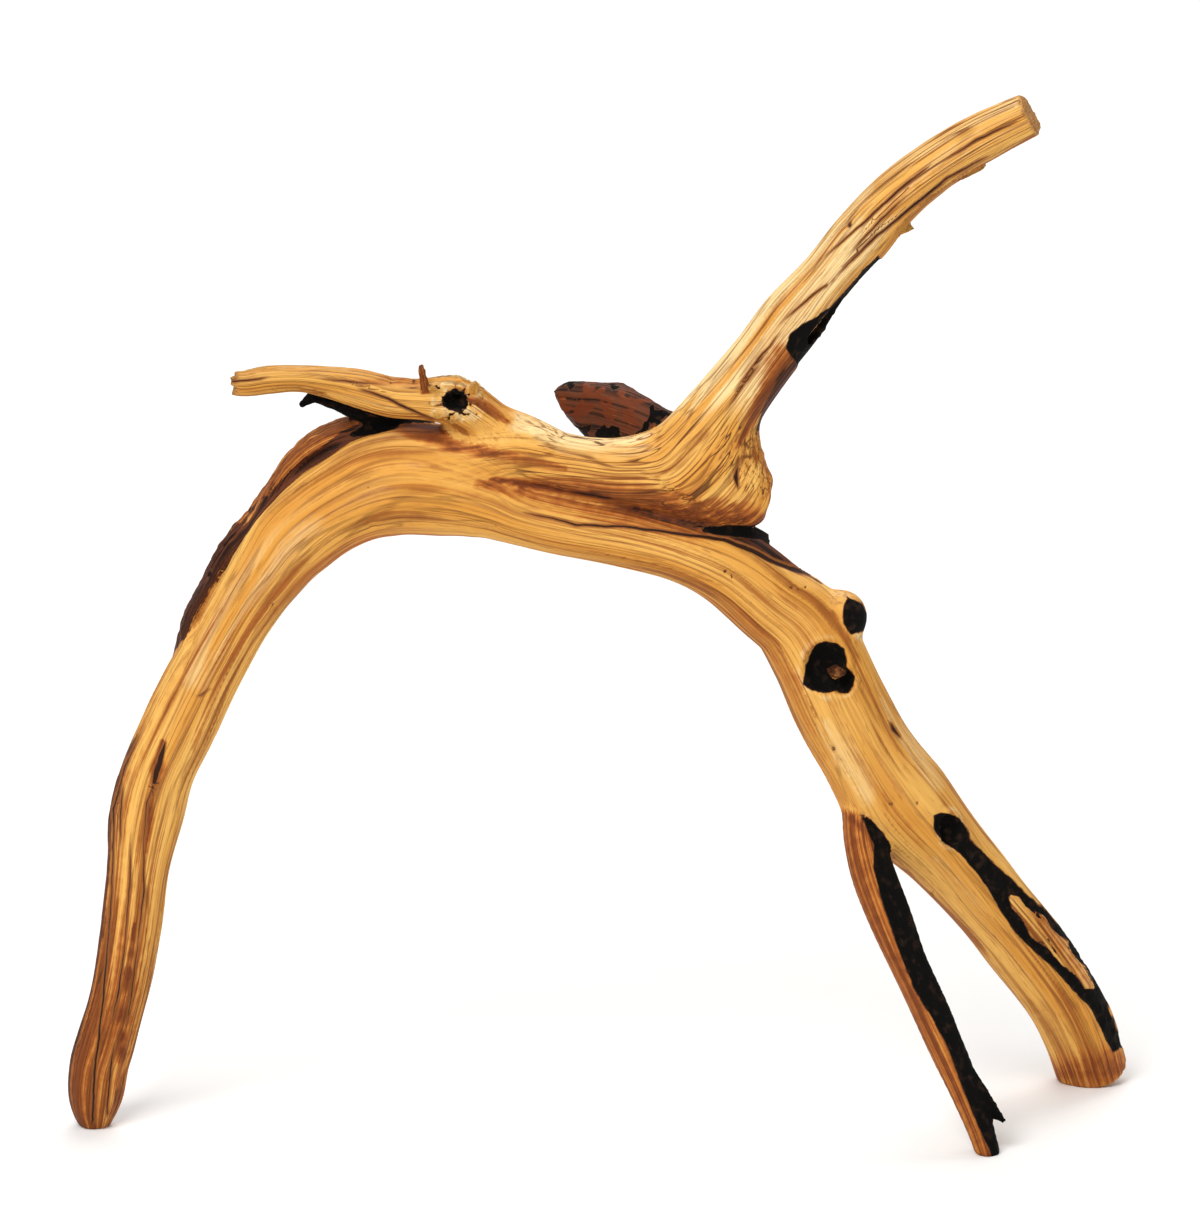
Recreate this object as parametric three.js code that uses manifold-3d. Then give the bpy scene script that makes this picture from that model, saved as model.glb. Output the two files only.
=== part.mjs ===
// A spiderwood root: the dried, peeled root of a shrub, sold for aquariums and terrariums.
// It is one grown piece of wood. A trunk arches over from a left foot to a right foot, a thin
// prop leg stands in front, and a bough bends up off the crown of the arch.
// Millimetres, +Z up, the floor at z = 0, the viewer on the -Y side.

import * as THREE from "three";
import { mergeVertices } from "three/addons/utils/BufferGeometryUtils.js";
import Module from "manifold-3d";

const wasm = await Module();
wasm.setup();

// Driving dimensions

// The shape is laid out on a picture plane that leans back by this much from upright.
const PICTURE_LEAN = THREE.MathUtils.degToRad(15);
// How far in front of the arch the prop leg's foot stands. Picture heights count from this foot.
const PROP_FOOT_BACK = -24;
// Moves the middle of the box to the origin.
const BOX_CENTRE = new THREE.Vector3(0.4, 8.8, 0);
// The floor trims the feet flat.
const FLOOR_BLOCK = 600;

// How finely the limbs are divided: ring spacing in millimetres, and sides to a ring.
const RING_STEP = 5;
const FEWEST_RINGS = 4;
const THICK_SIDES = 16;
const SLIM_SIDES = 10;
const SLIVER_SIDES = 6;
const EGG_SIDES = 12;
const EGG_ROWS = 8;
const SAME_POINT = 1e-4;
const SEARCH_STEPS = 400;

// Limbs. Each station is [across, up, back, radius in the picture plane, radius front to back].

const TRUNK = [
  [-124.2, 4.5, -1, 2.8, 3.2],
  [-124.2, 8.5, -1, 4.8, 5.5],
  [-124.2, 13, -1, 6.3, 6.8],
  [-123.5, 21, -1, 7, 7.2],
  [-122, 27, -1, 7.1, 7.3],
  [-118.5, 39.5, -1, 6.9, 7.3],
  [-115.8, 54.5, -1, 7, 7.5],
  [-114, 70, -0.5, 7.8, 8],
  [-111.8, 83.5, 0, 9.2, 8.5],
  [-108.8, 94.5, 0, 9.2, 8.8],
  [-103.2, 107, 0, 8.9, 9],
  [-96, 121.5, 0.5, 8.3, 9],
  [-88.2, 135, 0.5, 8.4, 9.2],
  [-81.2, 144.5, 0.5, 9.5, 9.5],
  [-75.2, 151.7, 1, 11, 9.8],
  [-68.5, 157.2, 1, 11.3, 10],
  [-61.8, 161.5, 1, 11.6, 10.2],
  [-54.8, 164.8, 1, 12.8, 10.5],
  [-48, 166.8, 1, 13.7, 10.8],
  [-36, 165.5, 1, 13.2, 10.8],
  [-27, 162.5, 0.5, 11.2, 10.5],
  [-20, 159.5, 0, 9, 10],
  [-9.5, 156.8, -0.5, 8.7, 9.8],
  [6.5, 153.6, -1, 8.8, 9.5],
  [21.5, 149.5, -1.5, 8.9, 9.5],
  [32.5, 145, -2, 9.4, 9.8],
  [43, 136.8, -2, 9.9, 10],
  [49.3, 131.2, -2, 10.7, 10.2],
  [54.5, 123, -2, 11.2, 10.3],
  [59.8, 112, -0.5, 11.5, 10.4],
  [66, 100, 2.5, 11.7, 10.4],
  [74, 87.2, 7, 12.8, 10.4],
  [86, 74, 13, 10.5, 10],
  [95.8, 62.8, 18.5, 9.7, 9.6],
  [104.5, 52.5, 23.5, 9.5, 9.3],
  [114, 39.5, 29.5, 9.2, 9],
  [119.8, 28.5, 34.8, 8.8, 8.6],
  [123.6, 18.6, 39.4, 8.3, 8.2],
];

const SHOULDER = [
  [-41, 167.5, 1, 7, 8],
  [-30, 171.5, 0.5, 8, 9],
  [-21, 173.5, 0, 9.3, 9.5],
  [-9.5, 170.8, -0.5, 7.8, 9.5],
  [2, 168.5, -1, 8.2, 9.8],
  [13.5, 167.8, -1, 9.8, 10.2],
  [24, 166.5, -1, 11.6, 10.6],
  [32, 165.5, -1, 11.2, 10.4],
  [38, 164.5, -1, 8, 8],
  [41, 164, -1, 3.5, 4.5],
];

const BOUGH = [
  [22, 167.5, -1, 8.5, 8.5],
  [27.5, 177.5, -1, 10, 9.5],
  [33, 186, -1, 8.6, 8.8],
  [41, 197, -0.5, 7.9, 8.2],
  [47.5, 206, 0, 7.7, 7.8],
  [55.5, 215.8, 0.5, 6.6, 7.3],
  [64.8, 225.5, 0, 6.8, 7],
  [73, 235.2, -1, 6.7, 6.7],
  [84, 244.8, -2.5, 5.8, 6.3],
  [95, 251.5, -4, 5.5, 6],
  [106, 255.8, -5, 5.6, 5.8],
];

const STUB = [
  [-21, 175.5, 0, 5.5, 6],
  [-29, 181.5, -1.5, 6, 6.5],
  [-36, 185.5, -3, 6.3, 6.5],
  [-43, 186, -3.5, 5.2, 5.8],
  [-51, 186.5, -3.5, 5, 5.5],
  [-59, 188.5, -3.5, 4.7, 5],
  [-66, 190, -3.5, 3.8, 4.5],
  [-73.5, 191, -4, 3.1, 4],
  [-81, 191, -4.5, 3.2, 3.6],
  [-87, 190, -5, 2.8, 3],
  [-90.5, 190, -5, 2.2, 2.5],
];

const PROP = [
  [66, 94, 5, 4, 4.5],
  [65.5, 82, 2, 4.8, 5],
  [67.2, 71.5, -2, 5.2, 5],
  [71.2, 59.5, -6.5, 5, 4.8],
  [76, 47.5, -10.5, 4.5, 4.6],
  [81.5, 36.2, -14, 4.4, 4.4],
  [87, 24.5, -18, 4, 4.2],
  [91.5, 14.5, -21.5, 3.9, 4],
  [95, 6, -24, 3.6, 3.8],
  [98, -2.5, -26.5, 3, 3.4],
];

const BARK_RIDGE = [
  [-49, 178.5, 5, 3, 5],
  [-59, 177.5, 5, 4.2, 6.5],
  [-68, 173.8, 5, 4.6, 7],
  [-74.5, 169.5, 5, 4.6, 7],
  [-80, 163.5, 5, 3.8, 6.5],
  [-85.5, 157, 4.5, 2.9, 6],
  [-91.8, 148.8, 4.5, 2.9, 6],
  [-96.8, 140, 4, 2.8, 6],
  [-99.8, 133, 4, 2.9, 6],
  [-102.8, 123.5, 4, 2.4, 6],
  [-106.6, 110, 3, 2.2, 5],
];

const BARK_WEB = [
  [-74, 185.2, 2, 1.3, 1.5],
  [-69, 186.5, 3, 2.2, 2.5],
  [-61, 185, 4, 3.4, 3.5],
  [-52, 181.5, 5, 4.2, 4.5],
  [-42, 177, 4, 4.5, 5],
];

const BACK_SNAG = [
  [22, 168.5, 5, 6.5, 6.5],
  [14, 178, 12, 7.4, 7],
  [4, 183.4, 20, 6.9, 6.8],
  [-3.5, 185.2, 26, 6, 6.2],
  [-9, 185.6, 30, 4, 4.8],
];

const BARK_FLAP = [
  [28, 155, 0, 2.8, 4],
  [35, 153, 1, 3, 4.5],
  [41.5, 150, 1.5, 2.6, 4],
];

const TWIG = [
  [-42, 186, -7, 1.3, 1.3],
  [-43, 191, -8, 1.1, 1.1],
  [-43.8, 194.8, -8, 0.8, 0.8],
];

const SLIVERS = [
  [
    [84, 240.5, -3, 1.2, 2],
    [90, 242, -3.5, 1, 1.6],
    [96, 244.2, -4, 0.6, 0.9],
  ],
  [
    [67, 225, -1, 1.2, 2],
    [73, 227.2, -1.5, 1, 1.6],
    [78.3, 229.8, -2, 0.6, 0.9],
  ],
];

// Knots and hollows on a limb's front: [across, up, half width, half depth, half height].
const HEART_KNOT = [
  [56.3, 119.8, 5.4, 4.6, 6.3],
  [61, 116.6, 3.9, 3.8, 3.8],
];
const STUB_KNOT = [-34.5, 186.2, 2.9, 4.6, 2.5];
const SCAR_HEAD = [86.8, 80.3, 3.4, 2.2, 4.2];

// The scar runs down the right leg's front from its head: [across, up, half width].
const SCAR = [
  [88, 78.5, 2.2],
  [97, 68, 2.4],
  [103.5, 59.5, 3.4],
  [112, 49, 3.6],
  [121, 38, 2.4],
  [126, 30, 1.4],
];

const SCAR_DEPTH_SHARE = 0.7;

// A collar of overgrown wood round a dead branch on the right leg's shoulder, hollow inside.
const COLLAR = { at: [60.2, 132.2, -2], radii: [6, 7, 6.6] };
const COLLAR_HOLLOW = { at: [65.4, 132, -4.5], radii: [2.9, 4.4, 5.4] };
// A rotted pocket on the right-hand side of the bough, in line with it.
const BOUGH_POCKET = { at: [55.3, 204.6, 1.5], radii: [3, 5, 9.5], lean: 0.68 };

// From the picture plane to the part's own frame.
function spot(across, up, back) {
  const lift = up - (back - PROP_FOOT_BACK) * Math.sin(PICTURE_LEAN);
  return new THREE.Vector3(across, back, lift / Math.cos(PICTURE_LEAN)).sub(BOX_CENTRE);
}

// A limb's middle line and its two radii as curves over the same stations.
function limbCurves(stations) {
  const line = new THREE.CatmullRomCurve3(
    stations.map(([across, up, back]) => spot(across, up, back)),
    false,
    "centripetal",
  );
  const radii = new THREE.CatmullRomCurve3(
    stations.map(([, , , inPlane, deep]) => new THREE.Vector3(inPlane, deep, 0)),
    false,
    "catmullrom",
    0.5,
  );
  return { line, radii };
}

// The middle, cross-section axes and radii at a share of a limb's length.
function sectionAt({ line, radii }, share) {
  const t = line.getUtoTmapping(share);
  const along = line.getTangent(t);
  const deep = new THREE.Vector3(0, 1, 0).addScaledVector(along, -along.y).normalize();
  const side = new THREE.Vector3().crossVectors(deep, along);
  const size = radii.getPoint(t);
  return { middle: line.getPoint(t), side, deep, sideRadius: size.x, deepRadius: size.y };
}

// A geometry's triangles as a solid that can be joined and cut.
function solidOf(geometry) {
  const bare = geometry.clone();
  bare.deleteAttribute("normal");
  bare.deleteAttribute("uv");
  const merged = mergeVertices(bare, SAME_POINT);
  return new wasm.Manifold(
    new wasm.Mesh({
      numProp: 3,
      vertProperties: merged.attributes.position.array,
      triVerts: new Uint32Array(merged.index.array),
    }),
  );
}

// A cylinder bent along a limb's stations, with an oval section that changes along it.
function limb(stations, sides) {
  const curves = limbCurves(stations);
  const steps = Math.max(FEWEST_RINGS, Math.round(curves.line.getLength() / RING_STEP));
  const geometry = new THREE.CylinderGeometry(1, 1, 1, sides, steps);
  const position = geometry.attributes.position;
  const vertex = new THREE.Vector3();
  for (let i = 0; i < position.count; i++) {
    vertex.fromBufferAttribute(position, i);
    const { middle, side, deep, sideRadius, deepRadius } = sectionAt(curves, 0.5 - vertex.y);
    middle.addScaledVector(side, vertex.x * sideRadius).addScaledVector(deep, vertex.z * deepRadius);
    position.setXYZ(i, middle.x, middle.y, middle.z);
  }
  return solidOf(geometry);
}

// How far back a limb's front surface lies at a place on the picture plane.
function frontBack(stations, across, up) {
  const curves = limbCurves(stations);
  let best = { gap: Infinity };
  for (let i = 0; i <= SEARCH_STEPS; i++) {
    const section = sectionAt(curves, i / SEARCH_STEPS);
    const back = section.middle.y + BOX_CENTRE.y;
    const here = spot(across, up, back).sub(section.middle);
    const gap = here.length();
    if (gap < best.gap) best = { gap, back, section };
  }
  const offset = Math.min(best.gap / best.section.sideRadius, 1);
  return best.back - best.section.deepRadius * Math.sqrt(1 - offset * offset);
}

// An egg shape: radii across, front to back and up, leaning clockwise in the picture plane.
function egg({ at, radii, lean = 0 }) {
  const geometry = new THREE.SphereGeometry(1, EGG_SIDES, EGG_ROWS);
  geometry.scale(...radii);
  geometry.rotateY(lean);
  geometry.translate(...spot(...at));
  return solidOf(geometry);
}

function hollowOn(stations, [across, up, halfWidth, halfDepth, halfHeight]) {
  const back = frontBack(stations, across, up);
  return egg({ at: [across, up, back], radii: [halfWidth, halfDepth, halfHeight] });
}

// The scar is cut by a thin limb that follows the right leg's front surface.
function scarCut() {
  const stations = SCAR.map(([across, up, halfWidth]) => {
    const back = frontBack(TRUNK, across, up);
    return [across, up, back, halfWidth, halfWidth * SCAR_DEPTH_SHARE];
  });
  return limb(stations, SLIM_SIDES);
}

function floorBlock() {
  const geometry = new THREE.BoxGeometry(FLOOR_BLOCK, FLOOR_BLOCK, FLOOR_BLOCK);
  geometry.translate(0, 0, -FLOOR_BLOCK / 2);
  return solidOf(geometry);
}

function rootSolid() {
  const grown = [
    ...[TRUNK, SHOULDER, BOUGH].map((stations) => limb(stations, THICK_SIDES)),
    ...[STUB, PROP, BARK_RIDGE, BARK_WEB, BACK_SNAG, BARK_FLAP].map((stations) => limb(stations, SLIM_SIDES)),
    ...[TWIG, ...SLIVERS].map((stations) => limb(stations, SLIVER_SIDES)),
    egg(COLLAR),
  ];
  const hollows = [
    ...HEART_KNOT.map((hollow) => hollowOn(TRUNK, hollow)),
    hollowOn(STUB, STUB_KNOT),
    hollowOn(TRUNK, SCAR_HEAD),
    scarCut(),
    egg(COLLAR_HOLLOW),
    egg(BOUGH_POCKET),
    floorBlock(),
  ];
  const wood = grown.reduce((all, piece) => all.add(piece));
  return hollows.reduce((left, hollow) => left.subtract(hollow), wood);
}

function geometryOf(solid) {
  const { vertProperties, triVerts } = solid.getMesh();
  const geometry = new THREE.BufferGeometry();
  geometry.setAttribute("position", new THREE.BufferAttribute(vertProperties, 3));
  geometry.setIndex(new THREE.BufferAttribute(triVerts, 1));
  geometry.computeVertexNormals();
  return geometry;
}

const wood = new THREE.MeshStandardMaterial({ color: 0xc98f45, roughness: 0.6, metalness: 0 });
const spiderwood = new THREE.Mesh(geometryOf(rootSolid()), wood);
spiderwood.name = "spiderwood_root";

const root = new THREE.Group();
root.add(spiderwood);

export default root;
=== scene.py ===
# %% [markdown]
# # A spiderwood root
# Spiderwood is the dried root of a shrub. Its bark has been peeled off, so the honey-coloured wood
# shows its grain, with dark bark left in the grooves and black knots where side roots died.
# The CAD solid gives the size, the stance and the bends. This lesson turns it into wood: the limbs are
# melted together, grain and cracks are carved, and a material follows the fibres along every limb.

# %% Load the frame
import math

import bpy
import numpy as np
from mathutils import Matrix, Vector, noise


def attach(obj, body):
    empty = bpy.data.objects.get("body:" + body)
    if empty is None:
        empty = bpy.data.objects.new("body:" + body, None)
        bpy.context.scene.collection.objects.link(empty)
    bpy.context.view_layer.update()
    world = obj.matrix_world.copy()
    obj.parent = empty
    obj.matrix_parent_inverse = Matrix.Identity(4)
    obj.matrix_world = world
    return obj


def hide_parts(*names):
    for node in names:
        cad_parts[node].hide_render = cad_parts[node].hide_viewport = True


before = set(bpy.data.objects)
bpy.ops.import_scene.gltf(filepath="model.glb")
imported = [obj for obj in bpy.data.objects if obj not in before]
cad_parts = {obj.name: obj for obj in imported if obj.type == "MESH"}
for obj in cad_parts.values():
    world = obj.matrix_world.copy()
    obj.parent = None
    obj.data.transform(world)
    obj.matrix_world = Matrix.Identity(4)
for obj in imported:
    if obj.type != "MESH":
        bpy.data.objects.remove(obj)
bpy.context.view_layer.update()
MM = 0.001

# %% [markdown]
# ## Where the limbs run
# Every grain line on the real root runs along a limb, so the carving and the colour both need to know
# where each limb goes. The stations below follow the ones the solid was drawn with, to within a
# millimetre or two. They give across, up and back on a picture plane that leans back by 15 degrees,
# then the limb's radius in that plane and its radius front to back, all in millimetres. One could
# trace the middle lines from the mesh instead, but that blurs them where limbs meet.

# %% The limbs' stations
PICTURE_LEAN = math.radians(15)
PROP_FOOT_BACK = -24
BOX_CENTRE = np.array([0.4, 8.8, 0.0])

TRUNK = [
    (-125, 4.5, -1, 2.8, 3.2), (-125.3, 8.5, -1, 5, 5.5), (-125.2, 13, -1, 6.5, 6.8),
    (-124.2, 21, -1, 7.2, 7.2), (-122.4, 27, -1, 7.4, 7.3), (-118.9, 39.5, -1, 7.2, 7.3),
    (-116, 54.5, -1, 7.2, 7.5), (-114, 70, -0.5, 7.8, 8), (-111.8, 83.5, 0, 9.2, 8.5),
    (-108.8, 94.5, 0, 9.2, 8.8), (-102.9, 107, 0, 9.2, 9), (-95.7, 121.3, 0.5, 8.7, 9),
    (-88, 134.8, 0.5, 8.7, 9.2), (-81.4, 144.8, 0.5, 9.8, 9.5), (-75.7, 152.3, 1, 11.6, 9.8),
    (-68.9, 157.9, 1, 12, 10), (-62.1, 162, 1, 12.7, 10.2), (-55, 165.1, 1, 13.9, 10.5),
    (-48, 166.4, 1, 14.1, 10.8), (-36, 165.2, 1, 13.5, 10.8), (-27, 162.5, 0.5, 11.2, 10.5),
    (-20, 159.5, 0, 9, 10), (-9.5, 156.8, -0.5, 8.7, 9.8), (6.5, 153.6, -1, 8.8, 9.5),
    (21.5, 149.5, -1.5, 8.9, 9.5), (32.3, 144.7, -2, 9.8, 9.8), (42.7, 136.4, -2, 10.7, 10),
    (49.2, 131.2, -2, 11.4, 10.2), (54.3, 122.9, -2, 11.6, 10.3), (59.5, 111.9, -0.5, 11.8, 10.4),
    (65.9, 100, 2.5, 11.9, 10.4), (74.1, 87.4, 7, 13, 10.4), (86.3, 74.2, 13, 10.7, 10),
    (96, 62.9, 18.5, 9.8, 9.6), (104.9, 52.6, 23.5, 9.8, 9.3), (114.6, 39.6, 29.5, 9.8, 9),
    (120.5, 28.4, 34.8, 9.4, 8.8), (124.2, 18, 39.4, 8.9, 8.4),
]
SHOULDER = [
    (-64, 162.5, 1, 3, 3.5), (-52, 166, 1, 5, 5.5), (-41, 168.8, 1, 6.6, 7.4), (-30, 171.5, 0.5, 8, 8.8),
    (-21, 173.5, 0, 9.3, 9.5),
    (-9.5, 170.3, -0.5, 7.6, 9.5), (2, 168.2, -1, 8, 9.8), (13.5, 167.8, -1, 9.8, 10.2),
    (24, 166.5, -1, 11.6, 10.6), (32, 165, -1, 11.4, 10.4), (38.2, 162.6, -1, 9.5, 9),
    (42.2, 161.8, -1, 5.8, 6),
]
BOUGH = [
    (22, 167.5, -1, 8.5, 8.5), (27.5, 177.5, -1, 10, 9.5), (33, 186, -1, 8.6, 8.8),
    (41.3, 196.8, -0.5, 8, 8.2), (48, 205.7, 0, 8, 7.9), (55.7, 215.6, 0.5, 6.9, 7.3),
    (64.4, 225.9, 0, 7.3, 7.1), (73, 235.2, -1, 6.7, 6.7), (84.6, 244, -2.5, 6.2, 6.3),
    (95.5, 250.7, -4, 6.1, 6.2), (106, 255.8, -5, 5.6, 5.8),
]
STUB = [
    (-21, 175.5, 0, 5.5, 6), (-29, 181.5, -1.5, 6, 6.5), (-36, 185.5, -3, 6.3, 6.5),
    (-43, 186, -3.5, 5.2, 5.8), (-51, 186.5, -3.5, 5, 5.5), (-59, 188.5, -3.5, 4.7, 5),
    (-66, 190, -3.5, 3.8, 4.5), (-73.5, 191, -4, 3.1, 4), (-81, 190.6, -4.5, 3.3, 3.6),
    (-86.6, 189.7, -5, 3.1, 3.2), (-89.7, 189.7, -5, 2.9, 2.8),
]
PROP = [
    (66, 94, 5, 4, 4.5), (65.5, 82, 2, 4.8, 5), (67.5, 71.5, -2, 5.4, 5),
    (71.6, 59.5, -6.5, 5.4, 4.9), (76.5, 47.5, -10.5, 5, 4.7), (82, 36.2, -14, 4.9, 4.5),
    (87.3, 24.5, -18, 4.4, 4.3), (91.5, 14.5, -21.5, 4, 4), (94.7, 6, -24, 3.6, 3.8),
    (97.3, -2.5, -26.5, 3, 3.4),
]
BARK_RIDGE = [
    (-49.1, 179.7, 5, 1.8, 5), (-59.4, 179.1, 5, 2.5, 6.5), (-68.7, 175.3, 5, 2.8, 7),
    (-75, 170.4, 5, 2.7, 7), (-80.1, 164.2, 5, 2.1, 6.5), (-85.2, 157.2, 4.5, 1.4, 6),
    (-91.7, 148.7, 4.5, 1.4, 6), (-96.6, 140, 4, 1.3, 6), (-100.3, 133.2, 4, 1.2, 6),
    (-103.2, 123.7, 4, 1.1, 6), (-106.8, 110.2, 3, 0.9, 5),
]
# A web of bark under the stub; its black colour is painted shadow.
BARK_WEB = [
    (-71.6, 187, 2, 1, 2), (-69, 186.5, 2.6, 1.4, 2.8), (-62, 184.8, 3.2, 2.5, 3.5),
    (-53, 181.6, 4.5, 3.8, 4.5), (-42, 177, 4, 4.5, 5),
]
BACK_SNAG = [
    (22, 168.5, 5, 6.5, 6.5), (14, 178, 12, 7.6, 7), (4, 183, 20, 8, 7.4),
    (-3.5, 184.6, 26, 8, 7.4), (-12, 185.2, 31, 8, 7),
]
# Broken faces of the snag: two places on the picture plane, with the wood to the right of the way.
SNAG_BREAKS = [
    ((-8, 182.5), (-11, 188.3)), ((-11, 188.3), (-7.6, 190.6)), ((-7.6, 190.6), (6, 190)),
    ((6, 190), (19, 182.3)), ((-4, 178), (-8, 182.5)),
]
BARK_FLAP = [(28, 155, 0, 2.8, 4), (35, 153, 1, 3, 4.5), (41.5, 150, 1.5, 2.6, 4)]
TWIG = [(-42, 186, -7, 1.1, 1.1), (-43, 191, -8, 1, 1), (-43.8, 194.8, -8, 0.8, 0.8)]
UPPER_SLIVER = [(85, 239.6, -3, 1.1, 2), (90.3, 241.2, -3.5, 0.9, 1.5), (95.2, 243.2, -4, 0.6, 0.8)]
LOWER_SLIVER = [(67, 225, -1, 1.1, 2), (72.6, 226.8, -1.5, 1, 1.5), (78.4, 228.4, -2, 0.7, 0.8)]
PRONG = [(91.8, 20.5, -20, 1.2, 1.4), (95.6, 14.2, -21.8, 1.2, 1.3), (100.6, 6.8, -23.6, 0.8, 0.9)]
WEB_TOOTH = [(-70.4, 186.4, 2.4, 1.2, 1.6), (-72.2, 185.4, 2, 1, 1.3), (-73.8, 184, 2, 0.6, 0.8)]
TORN_FIBRES = [
    [(-31, 187.6, -6, 1.1, 1.2), (-30.2, 190.4, -7.5, 0.8, 0.8)],
    [(-38, 183.4, -8, 1.1, 1.2), (-40.6, 181.2, -10.2, 0.8, 0.8)],
    [(-35, 182.6, -8, 1.1, 1.2), (-36.2, 179.8, -10.6, 0.8, 0.8)],
    [(-39, 187.6, -7.5, 1.1, 1.2), (-41.6, 188.8, -9.5, 0.8, 0.8)],
]
# The fibres of the shoulder turn up into the bough in one sweep, so they get a line of their own.
ELBOW_SWEEP = [
    *TRUNK[:19], (-34, 168.4, 1, 13, 10.8), (-21, 170.6, 0, 11.5, 10.2), (-8, 169.8, -0.5, 10, 10),
    (6, 168.3, -1, 9.6, 10), (17, 169.5, -1, 10.8, 10.2), (25.5, 177, -1, 10.8, 9.6), *BOUGH[2:],
]


def spot(across, up, back):
    """From the picture plane to the part's own frame, in millimetres."""
    lift = up - (back - PROP_FOOT_BACK) * math.sin(PICTURE_LEAN)
    return np.stack([across, back, lift / math.cos(PICTURE_LEAN)], -1) - BOX_CENTRE


def picture_place(points):
    """Across and up on the picture plane of points in the part's own frame."""
    own = points + BOX_CENTRE
    up = own[:, 2] * math.cos(PICTURE_LEAN) + (own[:, 1] - PROP_FOOT_BACK) * math.sin(PICTURE_LEAN)
    return np.column_stack([own[:, 0], up])


print("limb stations:", sum(len(limb) for limb in (TRUNK, SHOULDER, BOUGH, STUB, PROP, BARK_RIDGE)))

# %% [markdown]
# ## Measuring along a limb
# A limb is kept as a dense middle line with two radii. For any point it can say how far along the limb
# the point lies, how far to the side and how deep, and how far it is from the limb's skin. A spline
# object could hold the line, but arrays let all the points of a mesh be measured at once.

# %% Smooth lines and soft blends
POINTS_PER_SPAN = 14


def smooth_line(stations):
    """Points on a smooth line through the stations, radii included."""
    chords = np.linalg.norm(np.diff(stations[:, :3], axis=0), axis=1)
    knots = np.concatenate([[0], np.cumsum(np.sqrt(chords))])
    slopes = np.gradient(stations, knots, axis=0)
    places = np.linspace(0, knots[-1], POINTS_PER_SPAN * len(stations))
    span = np.clip(np.searchsorted(knots, places, side="right") - 1, 0, len(knots) - 2)
    width = (knots[span + 1] - knots[span])[:, None]
    share = (places[:, None] - knots[span][:, None]) / width
    rise = share * share * (3 - 2 * share)
    line = stations[span] * (1 - rise) + stations[span + 1] * rise
    line += slopes[span] * width * share * (1 - share) ** 2
    return line - slopes[span + 1] * width * share * share * (1 - share)


def unit(vectors):
    return vectors / np.linalg.norm(vectors, axis=1, keepdims=True)


def cloud(points):
    """Smooth noise, about -1 to 1, at each point."""
    return np.array([noise.noise(point) for point in points.tolist()])


def smooth_min(first, second, blend):
    """The smaller of two distances, rounded over where they are alike."""
    mix = np.clip(0.5 + 0.5 * (second - first) / blend, 0, 1)
    return second + (first - second) * mix - blend * mix * (1 - mix)


def smooth_max(first, second, blend):
    return -smooth_min(-first, -second, blend)


def ramp(low, high, values):
    """Zero at the low value, one at the high one, and smooth between them."""
    share = np.clip((values - low) / (high - low), 0, 1)
    return share * share * (3 - 2 * share)


print("half way up a ramp:", float(ramp(0, 2, np.array([1.0]))[0]))

# %% The limb and its measures
SAMPLE_STEP = 0.8
FAR_AWAY = 80.0
REACH = 16.0
NEVER_ZERO = 1e-9
# Lumps and teeth: how many there are per millimetre along a limb and per radius round it.
LUMPS_ALONG = 0.045
LUMPS_ROUND = 0.9
TEETH_ROUND = 2.2
LUMP_SEED = 7.3
TOOTH_SEED = 3.1


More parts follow.
